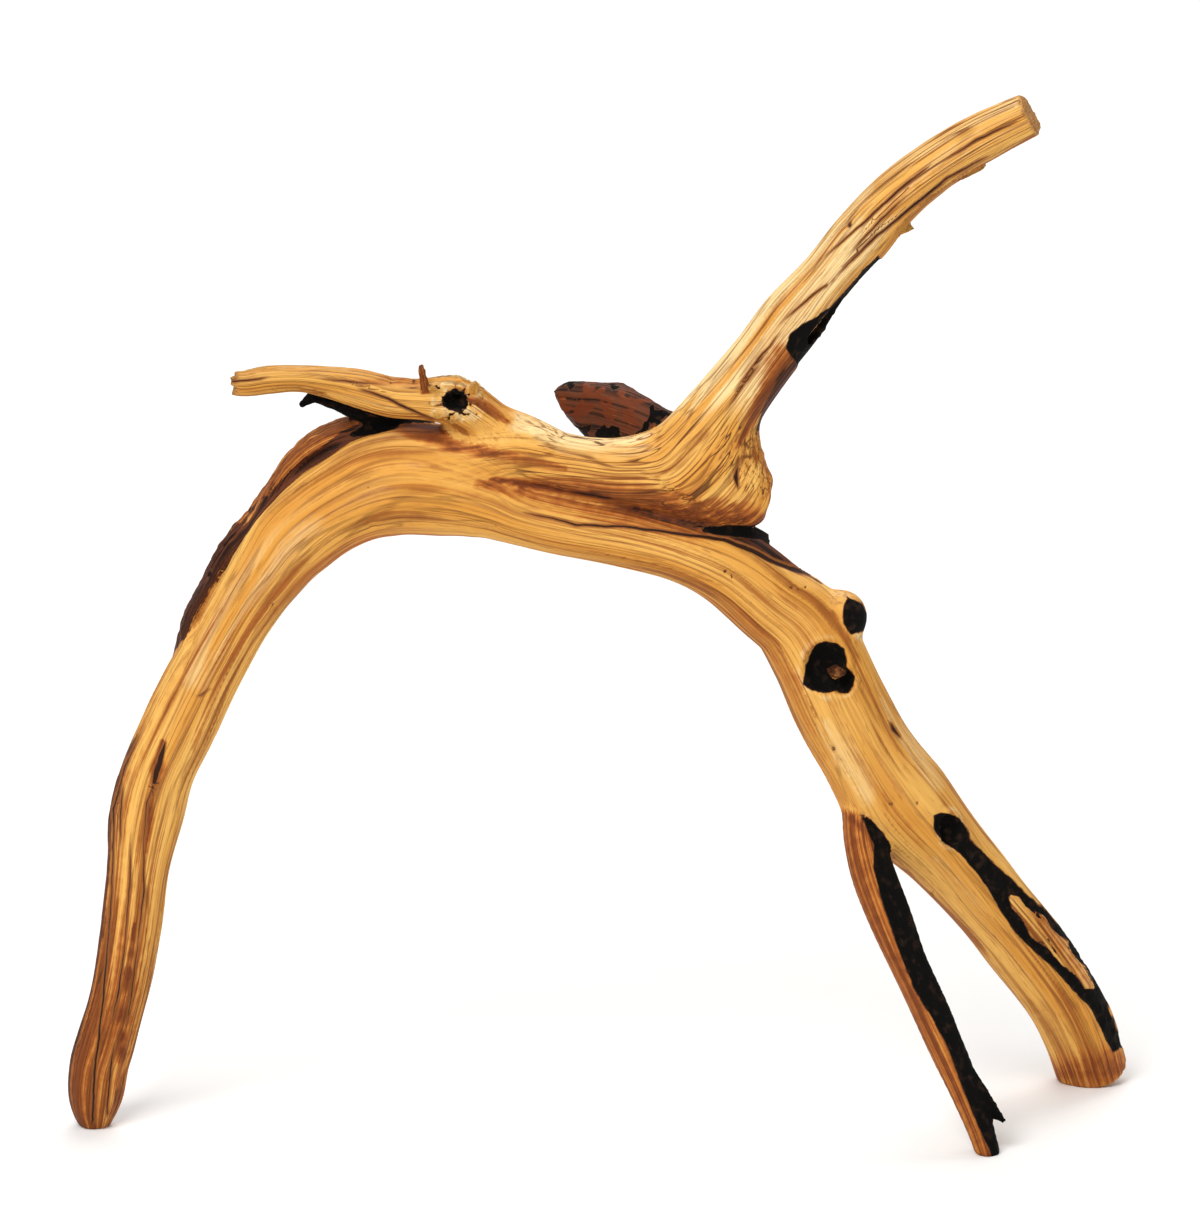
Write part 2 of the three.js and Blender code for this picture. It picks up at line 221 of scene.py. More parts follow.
class Limb:
    """One limb: where its middle runs, how thick it is, and how lumpy and how ragged its end is."""

    def __init__(self, stations, lump=0.35, ragged=0.3, cap_round=1.2, blocky=2.0):
        stations = np.array(stations, float)
        rough = smooth_line(np.column_stack([spot(*stations[:, :3].T), stations[:, 3:]]))
        steps = np.linalg.norm(np.diff(rough[:, :3], axis=0), axis=1)
        travelled = np.concatenate([[0], np.cumsum(steps)])
        self.length = travelled[-1]
        self.at = np.linspace(0, self.length, int(self.length / SAMPLE_STEP) + 2)
        line = np.column_stack([np.interp(self.at, travelled, column) for column in rough.T])
        self.middle = line[:, :3]
        self.radii = line[:, 3:]
        self.along = unit(np.gradient(self.middle, self.at, axis=0))
        depth = np.array([0.0, 1.0, 0.0]) - self.along * self.along[:, 1:2]
        self.deep = unit(depth)
        self.side = np.cross(self.deep, self.along)
        self.table = np.column_stack([self.middle, self.along, self.side, self.deep, self.radii])
        self.lump = lump
        self.ragged = ragged
        self.cap_round = cap_round
        self.blocky = blocky

    def section(self, where):
        """Middle, along, side, deep and the two radii at distances along the limb."""
        row = np.column_stack([np.interp(where, self.at, column) for column in self.table.T])
        return row[:, 0:3], unit(row[:, 3:6]), unit(row[:, 6:9]), unit(row[:, 9:12]), row[:, 12:14]

    def measure(self, points):
        """Distance along, offsets to the side and deep in radii, distance past an end, and the radii."""
        squares = (points**2).sum(1)[:, None] + (self.middle**2).sum(1)
        where = self.at[np.argmin(squares - 2 * points @ self.middle.T, axis=1)]
        for _ in range(2):
            middle, along, side, deep, radii = self.section(where)
            step = ((points - middle) * along).sum(1)
            where = where + step
        past = np.maximum(-where, where - self.length)
        middle, along, side, deep, radii = self.section(where)
        offset = points - middle
        sideways = (offset * side).sum(1) / radii[:, 0]
        deepways = (offset * deep).sum(1) / radii[:, 1]
        return where, sideways, deepways, past, radii

    def near(self, points):
        """Which points lie near enough to be measured."""
        low = self.middle.min(0) - self.radii.max() - REACH
        high = self.middle.max(0) + self.radii.max() + REACH
        return ((points > low) & (points < high)).all(1)

    def distance(self, points, seed):
        """Distance to the limb's skin: below zero inside it."""
        result = np.full(len(points), FAR_AWAY)
        near = self.near(points)
        if not near.any():
            return result
        where, side, deep, past, radii = self.measure(points[near])
        turn = np.abs(side) ** self.blocky + np.abs(deep) ** self.blocky
        turn = np.maximum(turn, NEVER_ZERO) ** (1 / self.blocky)
        reach = np.hypot(side * radii[:, 0], deep * radii[:, 1])
        skin = reach - reach / turn
        ring = np.column_stack([side, deep])
        on_skin = ring / turn[:, None] * LUMPS_ROUND
        skin -= self.lump * cloud(np.column_stack([where * LUMPS_ALONG, on_skin]) + seed * LUMP_SEED)
        tooth = np.column_stack([ring * TEETH_ROUND, np.full(len(side), seed * TOOTH_SEED)])
        result[near] = smooth_max(skin, past + self.ragged * cloud(tooth), self.cap_round)
        return result


print("the bough is", round(Limb(BOUGH).length), "mm long")

# %% The limbs
limbs = {
    "trunk": Limb(TRUNK, lump=0.55, ragged=0.5),
    "shoulder": Limb(SHOULDER, lump=0.5),
    "bough": Limb(BOUGH, lump=0.45, ragged=0.2, cap_round=0.7),
    "stub": Limb(STUB, lump=0.5, ragged=2.2, cap_round=0.5),
    "prop": Limb(PROP, lump=0.4),
    "bark_ridge": Limb(BARK_RIDGE, lump=0.6),
    "bark_web": Limb(BARK_WEB, lump=0.5, ragged=0.4),
    "back_snag": Limb(BACK_SNAG, lump=0.7, ragged=1.0, cap_round=0.5, blocky=3.0),
    "bark_flap": Limb(BARK_FLAP, lump=0.6, ragged=1.2),
    "twig": Limb(TWIG, lump=0.1, ragged=0.8),
    "upper_sliver": Limb(UPPER_SLIVER, lump=0.1, ragged=0.6),
    "lower_sliver": Limb(LOWER_SLIVER, lump=0.1, ragged=0.6),
}
splinters = {"prong": Limb(PRONG, lump=0.1), "web_tooth": Limb(WEB_TOOTH, lump=0.1)}
for count, fibre in enumerate(TORN_FIBRES):
    splinters[f"torn_fibre_{count}"] = Limb(fibre, lump=0.1)
limbs |= splinters
for name, limb in limbs.items():
    print(f"{name}: {limb.length:.0f} mm long, {2 * limb.radii.max():.0f} mm at its thickest")

# %% [markdown]
# ## Knots and hollows
# Where a side root died, the wood grew a collar round it and the dead core rotted out black. Each hollow
# is an egg shape cut into a limb. A boolean cut would leave sharp rims, so the eggs are blended in
# while the skin is being shaped.

# %% Egg-shaped hollows and the collar
LEAST_SLOPE = 1e-4
BUMP_SINK = 3.2


def front_back(limb, across, up):
    """How far back the limb's front skin lies at a place on the picture plane."""
    places = picture_place(limb.middle)
    gaps = np.hypot(places[:, 0] - across, places[:, 1] - up)
    best = np.argmin(gaps)
    side, deep = limb.radii[best]
    lean = min(gaps[best] / side, 1)
    return limb.middle[best, 1] + BOX_CENTRE[1] - deep * math.sqrt(1 - lean * lean)


class Egg:
    """An egg shape: its middle and its radii across, front to back and up, leaning in the picture."""

    def __init__(self, across, up, back, radii, lean=0.0):
        self.middle = spot(across, up, back)
        self.radii = np.array(radii)
        self.lean = lean

    def size_at(self, points):
        """One on the egg's skin, less inside it; with the offsets it came from."""
        offset = points - self.middle
        turned = offset.copy()
        turned[:, 0] = offset[:, 0] * math.cos(self.lean) - offset[:, 2] * math.sin(self.lean)
        turned[:, 2] = offset[:, 0] * math.sin(self.lean) + offset[:, 2] * math.cos(self.lean)
        return np.linalg.norm(turned / self.radii, axis=1), turned

    def distance(self, points):
        size, turned = self.size_at(points)
        slope = np.maximum(np.linalg.norm(turned / self.radii**2, axis=1), LEAST_SLOPE)
        return size * (size - 1) / slope


def egg_on(limb_name, across, up, half_width, half_depth, half_height, lean=0.0):
    back = front_back(limbs[limb_name], across, up)
    return Egg(across, up, back, (half_width, half_depth, half_height), lean)


collar = Egg(60.2, 132.2, -2, (6, 7, 6.6))
heart_bump = egg_on("trunk", 58.8, 118.2, 2.3, 3.6, 1.7)
heart_bump.middle[1] += BUMP_SINK
hollows = {
    "heart_knot": egg_on("trunk", 56.3, 119.8, 5.4, 4.6, 6.3),
    "heart_lobe": egg_on("trunk", 60.4, 116.4, 3, 3.6, 3.2),
    "stub_knot": egg_on("stub", -34.8, 185.4, 2.9, 4.2, 2.3),
    "scar_head": egg_on("trunk", 87.2, 79.8, 3.2, 2, 3.4),
    "bough_pocket": Egg(55, 204.5, -3, (1.2, 2.6, 8), 0.75),
}
print("hollows:", ", ".join(hollows))

# %% [markdown]
# ## One skin over all the limbs
# On the real root the limbs flow into each other at the crown, but under the elbow two strands only
# press together and leave a deep crease. So each limb is joined with its own softness, in millimetres:
# a large one melts it in, a small one keeps the crease.

# %% The whole root as one distance
JOIN_SOFTNESS = {
    "bough": 9.0, "stub": 3.5, "prop": 2.0, "bark_ridge": 0.7, "bark_web": 1.2, "back_snag": 2.5,
    "bark_flap": 0.7, "twig": 0.6, "upper_sliver": 0.6, "lower_sliver": 0.6,
    **{name: 0.6 for name in splinters},
}
CROWN_SOFTNESS = 6.0
CREASE_SOFTNESS = 2.5
CREASE_STARTS = -34.0
CREASE_SHARP = -14.0
RIM_SOFTNESS = 0.9
COLLAR_SOFTNESS = 2.5
BREAK_SOFTNESS = 0.6
FLOOR_SOFTNESS = 0.2


def limb_distances(points):
    return {name: limb.distance(points, seed) for seed, (name, limb) in enumerate(limbs.items())}


def broken_off(points, breaks):
    """Distance past the outermost of some straight breaks."""
    spots = picture_place(points)
    past = np.full(len(points), -FAR_AWAY)
    for start, end in np.array(breaks, float):
        way = (end - start) / np.linalg.norm(end - start)
        past = np.maximum(past, way[0] * (spots[:, 1] - start[1]) - way[1] * (spots[:, 0] - start[0]))
    return past


def root_distance(points):
    """Distance to the skin of the whole root: below zero inside it."""
    own_gaps = limb_distances(points)
    snapped = broken_off(points, SNAG_BREAKS)
    own_gaps["back_snag"] = smooth_max(own_gaps["back_snag"], snapped, BREAK_SOFTNESS)
    sharp = ramp(CREASE_STARTS, CREASE_SHARP, points[:, 0])
    crown_softness = CROWN_SOFTNESS * (1 - sharp) + CREASE_SOFTNESS * sharp
    whole = smooth_min(own_gaps["trunk"], own_gaps["shoulder"], crown_softness)
    for name, softness in JOIN_SOFTNESS.items():
        whole = smooth_min(whole, own_gaps[name], softness)
    whole = smooth_min(whole, collar.distance(points), COLLAR_SOFTNESS)
    for hollow in hollows.values():
        whole = smooth_max(whole, -hollow.distance(points), RIM_SOFTNESS)
    whole = smooth_min(whole, heart_bump.distance(points), RIM_SOFTNESS)
    return smooth_max(whole, -points[:, 2], FLOOR_SOFTNESS)


print("limbs joined:", len(limbs), "with", len(hollows), "hollows")

# %% [markdown]
# ## The root's skin
# The CAD solid is merged and remeshed into small even squares, as a sculptor would before carving.
# Thin splinters that the solid leaves out are roughed out with cones first. Subdividing the CAD mesh would
# keep its long thin triangles, which can't take grain, so the voxel remesh comes before the carving.

# %% Copy, merge and remesh the solid
COARSE_VOXEL = 1.1 * MM
FINE_VOXEL = 0.8 * MM
MERGE_GAP = 0.01 * MM
CONES_PER_SPLINTER = 3
CONE_SIDES = 12


def rough_out(limb, name):
    """A chain of cones along a thin limb that the solid does not have."""
    steps = np.linspace(0, len(limb.middle) - 1, CONES_PER_SPLINTER + 1).astype(int)
    for start, end in zip(steps[:-1], steps[1:]):
        foot = Vector(limb.middle[start] * MM)
        tip = Vector(limb.middle[end] * MM)
        bpy.ops.mesh.primitive_cone_add(
            vertices=CONE_SIDES,
            radius1=limb.radii[start].max() * MM,
            radius2=limb.radii[end].max() * MM,
            depth=(tip - foot).length,
            location=(foot + tip) / 2,
            rotation=(tip - foot).to_track_quat("Z", "Y").to_euler(),
        )
        bpy.context.active_object.name = name
        yield bpy.context.active_object


def even_squares(voxel):
    """Remesh the root into even squares."""
    remesh = root.modifiers.new("even_squares", "REMESH")
    remesh.mode = "VOXEL"
    remesh.voxel_size = voxel
    bpy.ops.object.modifier_apply(modifier=remesh.name)
    print(f"remeshed at {voxel / MM:.2f} mm: {len(root.data.vertices)} points")


bpy.ops.object.select_all(action="DESELECT")
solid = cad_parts["spiderwood_root"]
root = solid.copy()
root.data = solid.data.copy()
root.name = "carved_root"
root.data.name = "carved_root"
bpy.context.scene.collection.objects.link(root)
root.parent = None
cones = [cone for name, limb in splinters.items() for cone in rough_out(limb, name)]
bpy.ops.object.select_all(action="DESELECT")
for thing in [*cones, root]:
    thing.select_set(True)
bpy.context.view_layer.objects.active = root
bpy.ops.object.join()
bpy.ops.object.mode_set(mode="EDIT")
bpy.ops.mesh.select_all(action="SELECT")
bpy.ops.mesh.remove_doubles(threshold=MERGE_GAP)
bpy.ops.object.mode_set(mode="OBJECT")
even_squares(COARSE_VOXEL)

# %% [markdown]
# ## Moving the points onto the limbs
# A mesh this fine has about a hundred thousand points, so they are read into one array, moved together and
# written back. Each round evens a point out among its neighbours, then moves it along its normal by its
# distance to the joined limbs. A Shrinkwrap modifier would need a target mesh; here the target is a formula.

# %% Reading, writing and averaging points


def read_points():
    """The root's points in millimetres."""
    flat = np.empty(3 * len(root.data.vertices))
    root.data.vertices.foreach_get("co", flat)
    return flat.reshape(-1, 3) / MM


def write_points(new_points):
    root.data.vertices.foreach_set("co", (new_points * MM).ravel())
    root.data.update()


def read_normals():
    flat = np.empty(3 * len(root.data.vertices))
    root.data.vertex_normals.foreach_get("vector", flat)
    return flat.reshape(-1, 3)


class Neighbours:
    """Averages over the points that share an edge."""

    def __init__(self):
        ends = np.empty(2 * len(root.data.edges), dtype=np.int64)
        root.data.edges.foreach_get("vertices", ends)
        self.ends = ends.reshape(-1, 2)
        self.count = np.maximum(np.bincount(ends, minlength=len(root.data.vertices)), 1)

    def mean(self, values):
        columns = values.reshape(len(values), -1)
        result = np.empty_like(columns)
        for index, column in enumerate(columns.T):
            total = np.bincount(self.ends[:, 0], column[self.ends[:, 1]], minlength=len(column))
            total += np.bincount(self.ends[:, 1], column[self.ends[:, 0]], minlength=len(column))
            result[:, index] = total / self.count
        return result.reshape(values.shape)


print("points to move:", len(read_points()))

# %% Move the points onto the limbs
LONGEST_MOVE = 1.5
COARSE_ROUNDS = 5
FINE_ROUNDS = 3


def shape_onto_limbs(rounds):
    around = Neighbours()
    for turn in range(rounds):
        moved = read_points()
        moved = 0.5 * moved + 0.5 * around.mean(moved)
        write_points(moved)
        gap = root_distance(moved)
        write_points(moved - read_normals() * np.clip(gap, -LONGEST_MOVE, LONGEST_MOVE)[:, None])
        print(f"shaping round {turn + 1}: mean gap {np.abs(gap).mean():.3f} mm")


shape_onto_limbs(COARSE_ROUNDS)
even_squares(FINE_VOXEL)
shape_onto_limbs(FINE_ROUNDS)
points = read_points()
neighbours = Neighbours()

# %% [markdown]
# ## Which limb owns which point
# The carving and the material both follow the grain, so every point needs the coordinates of the limb it
# lies on: how far along it is, and where on the limb's round. Two sets of coordinates are kept, because
# at a fork one limb's grain must fade into the other's, and a material can mix two patterns softly.

# %% Grain coordinates
GRAIN_ROUND = 10.0
SET_SHIFT = 300.0
FIRST_SET = ("trunk", "stub", "back_snag", "bark_flap", "prong")
SECOND_SET = tuple(name for name in limbs if name not in FIRST_SET)
FORK_FADE = 1.2
CROWN_FADE = 5.0
elbow_sweep = Limb(ELBOW_SWEEP)
gaps = limb_distances(points)
names = list(limbs)
owner = np.array(names)[np.argmin(np.column_stack([gaps[name] for name in names]), axis=1)]


def grain_from(set_names):
    """Grain coordinates from the nearest limb of a set, the distance to that limb, and its name."""
    stack = np.column_stack([gaps[name] for name in set_names])
    nearest = np.argmin(stack, axis=1)
    grain = np.zeros_like(points)
    for index, name in enumerate(set_names):
        mine = nearest == index
        line = elbow_sweep if name in ("shoulder", "bough") else limbs[name]
        where, side, deep, _, _ = line.measure(points[mine])
        shift = SET_SHIFT * (1 if line is elbow_sweep else index + 1)
        grain[mine] = np.column_stack([where + shift, side * GRAIN_ROUND, deep * GRAIN_ROUND])
    return grain, stack.min(axis=1), np.array(set_names)[nearest]


first_grain, first_gap, _ = grain_from(FIRST_SET)
second_grain, second_gap, second_name = grain_from(SECOND_SET)
place = picture_place(points)
across, up = place.T
mix_width = FORK_FADE + CROWN_FADE * (second_name == "shoulder") * ramp(10, -20, across)
grain_mix = ramp(0, 1, (first_gap - second_gap) / mix_width * 0.5 + 0.5)
own_grain = np.where(grain_mix[:, None] > 0.5, second_grain, first_grain)
print("points owned by each limb:", {name: int((owner == name).sum()) for name in names})

# %% [markdown]
# ## Marks drawn from the front
# Cracks, scars and stains are drawn like pencil strokes on the picture plane: a line of points, each with
# a half width, that marks the points of one limb under it. A painted texture would need a picture file,
# and these strokes follow the limbs' own stations.

# %% Facing the viewer, and soft noise
toward_viewer = np.array([0.0, -math.cos(PICTURE_LEAN), math.sin(PICTURE_LEAN)])
normals = read_normals()
facing = normals @ toward_viewer


def speckle(size, seed=0):
    """Noise whose lumps are about this large, in millimetres."""
    return cloud(points / size + seed)


def along_grain(length, width, seed):
    """Noise stretched along the fibres: about this long and this wide, in millimetres."""
    size = np.array([1 / length, 1 / width, 1 / width])
    first = cloud(first_grain * size + seed)
    second = cloud(second_grain * size + seed)
    return first * (1 - grain_mix) + second * grain_mix


# How far a mark reaches round a limb: to the edge seen from the front, past it, or over the front half.
edge_wave = cloud(own_grain * (1 / 16, 1 / 3, 1 / 3)) + 0.5 * speckle(2)
front = ramp(-0.12, 0.12, facing)
over_the_edge = ramp(-0.55, -0.25, facing + 0.4 * edge_wave)
front_half = ramp(3.0, -1.0, own_grain[:, 2])
# A mark's edge is drawn a little unsteady, and more so where the limb turns away.
unsteady = np.column_stack([speckle(3.5), speckle(3.5, 50)])
drawn_place = place + (0.15 + 0.5 * ramp(0.6, 0.1, facing))[:, None] * unsteady
print("points in front:", int((front > 0.5).sum()))

# %% Shares of the limbs
BORDER_FADE = 1.6


def owned(*limb_names):
    return np.isin(owner, limb_names)


def share_of(*limb_names, soft=BORDER_FADE):
    """One well on these limbs, a half where they meet the others, zero well off them."""
    own = np.minimum.reduce([gaps[name] for name in limb_names])
    rest = np.minimum.reduce([gaps[name] for name in names if name not in limb_names])
    return np.clip(0.5 + (rest - own) / soft, 0, 1)


def softened(values, rounds):
    for _ in range(rounds):
        values = neighbours.mean(values)
    return values


def bell(values, middle, width):
    """One at the middle value, falling off to both sides."""
    return np.exp(-(((values - middle) / width) ** 2))


print("points on the stub:", int((share_of("stub") > 0.5).sum()))

# %% Strokes, patches and outlines
OUTLINE_FADE = 2.4
THINNEST = 0.01
TRIAL_LINE = [(40, 196, 1), (90, 248, 1)]


def line_gaps(line):
    """Signed distance to a line of (across, up, half width), and the half width beside each point."""
    line = np.array(line, float)
    best = np.full(len(points), FAR_AWAY)
    widths = np.zeros(len(points))
    for start, end in zip(line[:-1], line[1:]):
        way = end[:2] - start[:2]
        offset = drawn_place - start[:2]
        share = np.clip(offset @ way / (way @ way), 0, 1)
        gap = np.linalg.norm(offset - share[:, None] * way, axis=1)
        gap *= np.where(way[0] * offset[:, 1] - way[1] * offset[:, 0] < 0, -1, 1)
        closer = np.abs(gap) < np.abs(best)
        best = np.where(closer, gap, best)
        widths = np.where(closer, start[2] + share * (end[2] - start[2]), widths)
    return best, widths


def stroke(line, *limb_names, seen=front):
    """One on the line, a half at its half width and zero at twice that."""
    gap, half_width = line_gaps(line)
    strength = np.clip(1 - 0.5 * np.abs(gap) / np.maximum(half_width, THINNEST), 0, 1)
    return strength * seen * share_of(*limb_names)


def patch(middle_across, middle_up, half_width, half_height, *limb_names, seen=front):
    """One in the middle of an oval, a half on its edge and zero at twice that."""
    sideways = (drawn_place[:, 0] - middle_across) / half_width
    upward = (drawn_place[:, 1] - middle_up) / half_height
    return np.clip(1 - 0.5 * np.hypot(sideways, upward), 0, 1) * seen * share_of(*limb_names)


def outline(corners, *limb_names, seen=front):
    """A half on a closed line of (across, up), more inside it and less outside, over a soft width."""
    corners = np.array(corners, float)
    gap = np.full(len(points), FAR_AWAY)
    within = np.zeros(len(points), bool)
    for start, end in zip(corners, np.roll(corners, -1, axis=0)):
        way = end - start
        offset = drawn_place - start
        share = np.clip(offset @ way / (way @ way), 0, 1)
        gap = np.minimum(gap, np.linalg.norm(offset - share[:, None] * way, axis=1))
        crosses = (offset[:, 1] >= 0) != (drawn_place[:, 1] >= end[1])
        turn = way[0] * offset[:, 1] - way[1] * offset[:, 0]
        within ^= crosses & ((turn > 0) == (way[1] > 0))
    signed = np.where(within, gap, -gap)
    return np.clip(0.5 + signed / OUTLINE_FADE, 0, 1) * seen * share_of(*limb_names)


print("points under a stroke along the bough:", int((stroke(TRIAL_LINE, "bough") > 0).sum()))

# %% [markdown]
# ## Cracks
# Drying opens long cracks along the grain. A crack is thinner than the mesh is fine, so its signed distance
# is kept: the shader finds the line where that distance crosses zero. The half widths are in millimetres
# and shrink to nothing at a crack's ends. Cutting real slits would need a far finer mesh.

# %% Cracks
UPPER = ("shoulder", "bough")
CROWN = ("trunk", "shoulder")
LEG_CRACKS = [
    [(-110.9, 108.2, 0.05), (-117.2, 95.6, 0.2), (-120.3, 84.6, 0.3), (-120.8, 64.3, 0.2),
     (-122.2, 47, 0.3), (-123.5, 33, 0.35), (-125, 20.5, 0.4), (-125.7, 7, 0.4)],
    [(-109.8, 90.9, 0.1), (-111.7, 86.2, 0.2), (-112.5, 76.8, 0.12), (-112.5, 64.3, 0.25),
     (-114, 51.8, 0.12), (-115.6, 39.2, 0.25), (-117.2, 29.8, 0.05)],
    [(-115.6, 81.5, 0.05), (-116, 65.9, 0.2), (-117.2, 51.8, 0.12), (-119, 39.2, 0.3), (-121.1, 29.8, 0.05)],
    [(-117.6, 92.5, 0.05), (-118.4, 84, 0.25), (-118.4, 73.7, 0.05)],
    [(-119.8, 28, 0.05), (-121, 20, 0.3), (-122, 9, 0.2)],
]
LEG_LENS = [(-110.4, 89, 0.1), (-109.2, 94, 1.1), (-108, 98, 0.9), (-107, 101.5, 0.1)]
NICK = [(-99.6, 112.6, 0.05), (-98, 112.9, 0.16), (-96.4, 114.2, 0.12), (-94.8, 114.6, 0.05)]
STRAND_CRACK = [
    (-18, 158, 0.1), (-11, 156.6, 0.25), (-5.2, 155, 0.32), (6.4, 154.6, 0.36), (18, 153.2, 0.45),
    (31, 151.8, 0.65), (38.2, 149, 0.75), (43, 146.4, 0.75), (51.3, 143.2, 0.6), (60, 139.4, 0.1),
]
BOUGH_CRACKS = [
    [(52.7, 218.6, 0.05), (64.5, 228.6, 0.25), (74, 237.5, 0.35), (81.1, 242.9, 0.1)],
    [(56.2, 213.8, 0.05), (68.1, 225.7, 0.3), (78.7, 234, 0.4), (85.8, 239.9, 0.35), (95.3, 245.2, 0.1)],
    [(60, 219.6, 0.05), (69.2, 229.6, 0.25), (76.4, 236.6, 0.05)],
    [(43.2, 203.2, 0.05), (52.7, 211.5, 0.25), (59.8, 216.6, 0.05)],
    [(32.5, 186.6, 0.05), (39.6, 196.1, 0.25), (45.7, 203.2, 0.05)],
    [(83.5, 243.3, 0.05), (93, 249.4, 0.3), (102.4, 253.6, 0.1)],
    [(30, 181, 0.05), (36, 190, 0.2), (41.5, 197, 0.05)],
    [(34.2, 164.2, 0.1), (34, 166.5, 0.7), (34.4, 169.3, 0.1)],
]
STUB_CRACKS = [
    [(-60, 189, 0.05), (-52, 186.2, 0.35), (-46, 183, 0.4), (-41, 180.6, 0.1)],
    [(-70, 191.2, 0.05), (-61, 190.2, 0.2), (-50, 189.5, 0.05)],
    [(-90, 190.3, 0.3), (-86, 190.6, 0.25), (-80, 191.4, 0.05)],
]
LEG_SLIT = [(72.3, 106.2, 0.1), (73.4, 104.6, 0.6), (74.8, 102.4, 0.1)]
CRACK_REACH = 2.6
CRACK_SHARE = 0.75
GROOVE_WIDTH = 0.9
crack_side = np.full(len(points), CRACK_REACH)
crack_wide = np.zeros(len(points))


def draw_crack(line, *limb_names):
    """Keep the nearest crack's signed distance and half width; the width fades before the next crack."""
    gap, half_width = line_gaps(line)
    mine = (np.abs(gap) < np.abs(crack_side)) & (front > 0.3) & owned(*limb_names)
    crack_side[mine] = gap[mine]
    crack_wide[mine] = CRACK_SHARE * half_width[mine] * ramp(1.5, 0.8, np.abs(gap[mine]))


for line in [*LEG_CRACKS, LEG_LENS, NICK, STRAND_CRACK, LEG_SLIT]:
    draw_crack(line, "trunk")
for line in BOUGH_CRACKS:
    draw_crack(line, *UPPER)
for line in STUB_CRACKS:
    draw_crack(line, "stub", "shoulder")
crack_groove = bell(crack_side, 0, GROOVE_WIDTH) * np.clip(crack_wide / 0.4, 0, 1.5)
print("points beside a crack:", int((crack_wide > 0.1).sum()))

# %% [markdown]
# ## Scars and knots
# Dead side roots leave black scars and knots with sharp borders, so these are drawn as closed outlines of
# (across, up). The long scar holds an island of bare wood, and one side of the prop leg is black.
# A vertex-paint pass could do the same by hand, but outlines can be read and changed later.

# %% Outlines of the black marks
HEART = [
    (55.9, 126.2), (58.6, 125.8), (60.5, 124.4), (61, 121.6), (61.2, 119.8), (63.1, 117.5),
    (62.9, 115.2), (61.4, 113.6), (58.6, 114.4), (55.9, 113.6), (53, 114.2), (50.6, 115.7),
    (50.9, 118), (51.3, 120.3), (52.4, 123.2), (53.9, 125.4),
]
SCAR = [
    (83.3, 83.1), (85, 83.8), (88.5, 82.8), (91.4, 79.9), (92.3, 77), (97.2, 72.1), (101.8, 68),
    (106.2, 63.6), (112.3, 58.6), (118.5, 52.4), (123.2, 46), (126.1, 40), (128, 33.8), (129.8, 29.1),
    (131.5, 25), (128.9, 23.4), (126.8, 27.2), (125.1, 30.9), (122.6, 35.2), (118.8, 39), (113.8, 44.6),
    (109, 48.8), (103.8, 53.8), (100, 59.6), (97, 64.8), (94.3, 68.6), (89.7, 73.8), (85.6, 76.7),
    (83.3, 79.6),
]
SCAR_ISLAND = [
    (102.8, 63.4), (105.4, 63), (107.6, 60.2), (111.4, 58.2), (113.4, 55), (117.6, 51.6), (119.6, 47.4),
    (122, 45.6), (125, 39.4), (122, 39.4), (119.8, 42.8), (115.6, 45.8), (112.4, 49.4), (108.2, 52),
    (106.2, 56), (102.8, 60),
]
COLLAR_DOME = [
    (61.2, 137), (64.6, 135.6), (66.6, 132.1), (66.4, 129.5), (64.1, 128.5), (62.4, 128), (60.6, 130.5),
    (60.4, 133.6),
]
POCKET = [
    (46.2, 198.2), (47.2, 202), (49.8, 203.9), (53.9, 206.2), (57.4, 208.6), (61, 212.6), (64.8, 217),
    (69, 221), (70.6, 219.8), (66, 213), (62, 206.6), (58, 200), (53, 192), (50.4, 190.6), (49, 194.6),
]
PROP_BLACK_EDGE = [
    (63.5, 84.6, 1), (66, 81, 1), (68.4, 76.1, 1), (68.2, 70.3, 1), (70.2, 62.2, 1), (73.6, 52.3, 1),
    (77.9, 40.7, 1), (82.3, 33.7, 1), (86.7, 25.6, 1), (90.8, 14, 1), (94.3, 5.9, 1), (97.3, -0.5, 1),
]
# Strokes of (across, up, half width), and specks of (across, up, size).
BARK_GROOVE = [
    (-50, 180.6, 1.2), (-56, 179.4, 1.5), (-61.5, 177.6, 1.4), (-67.2, 173.3, 1.1), (-73.5, 169.2, 0.9),
    (-79.3, 163.8, 0.8), (-85.5, 157, 0.7), (-91, 148.4, 0.6), (-95.8, 139.5, 0.5), (-98.8, 132.5, 0.45),
    (-101.8, 123.1, 0.35), (-105.6, 110, 0.2),
]
# The crease under the elbow is carved; the dark along it is painted shade.
CREASE = [
    (-24, 166.2, 0.3), (-11, 163.9, 0.6), (-0.9, 162.2, 0.8), (10.7, 158.3, 1), (22.3, 154.9, 1.1),
    (40, 153, 1.2),
]
BOUGH_EDGE = [(49.6, 196, 1.1), (45.4, 190.4, 1.1), (41.8, 184.2, 1), (39.4, 178.4, 0.4)]
FLAP_SHADOW = [(26, 153.9, 0.5), (33, 153.6, 1.3), (39, 153.2, 1.7), (43, 152.4, 1)]
SPECKS = [
    (31.2, 143.4, 0.8), (32.8, 142.2, 0.6), (47.6, 139.7, 0.6), (49.4, 139.3, 0.5), (51.2, 139.9, 0.5),
    (72.5, 85.9, 0.8), (78.9, 86.4, 0.8), (58, 99.4, 0.8), (59.8, 96.8, 0.5), (53.4, 105.5, 0.3),
    (61.6, 228.6, 0.9), (52, 226, 0.4), (83, 64, 0.4), (76, 95, 0.4), (68, 70, 0.4), (-51, 190.4, 0.6),
    (-45.5, 190.6, 0.9), (-56.5, 164, 0.5), (-55.7, 155, 0.5), (-25.2, 154.7, 0.5), (-80.3, 135.2, 0.7),
]
SPECK_WIDE = 1.35
SPECK_TALL = 1.7
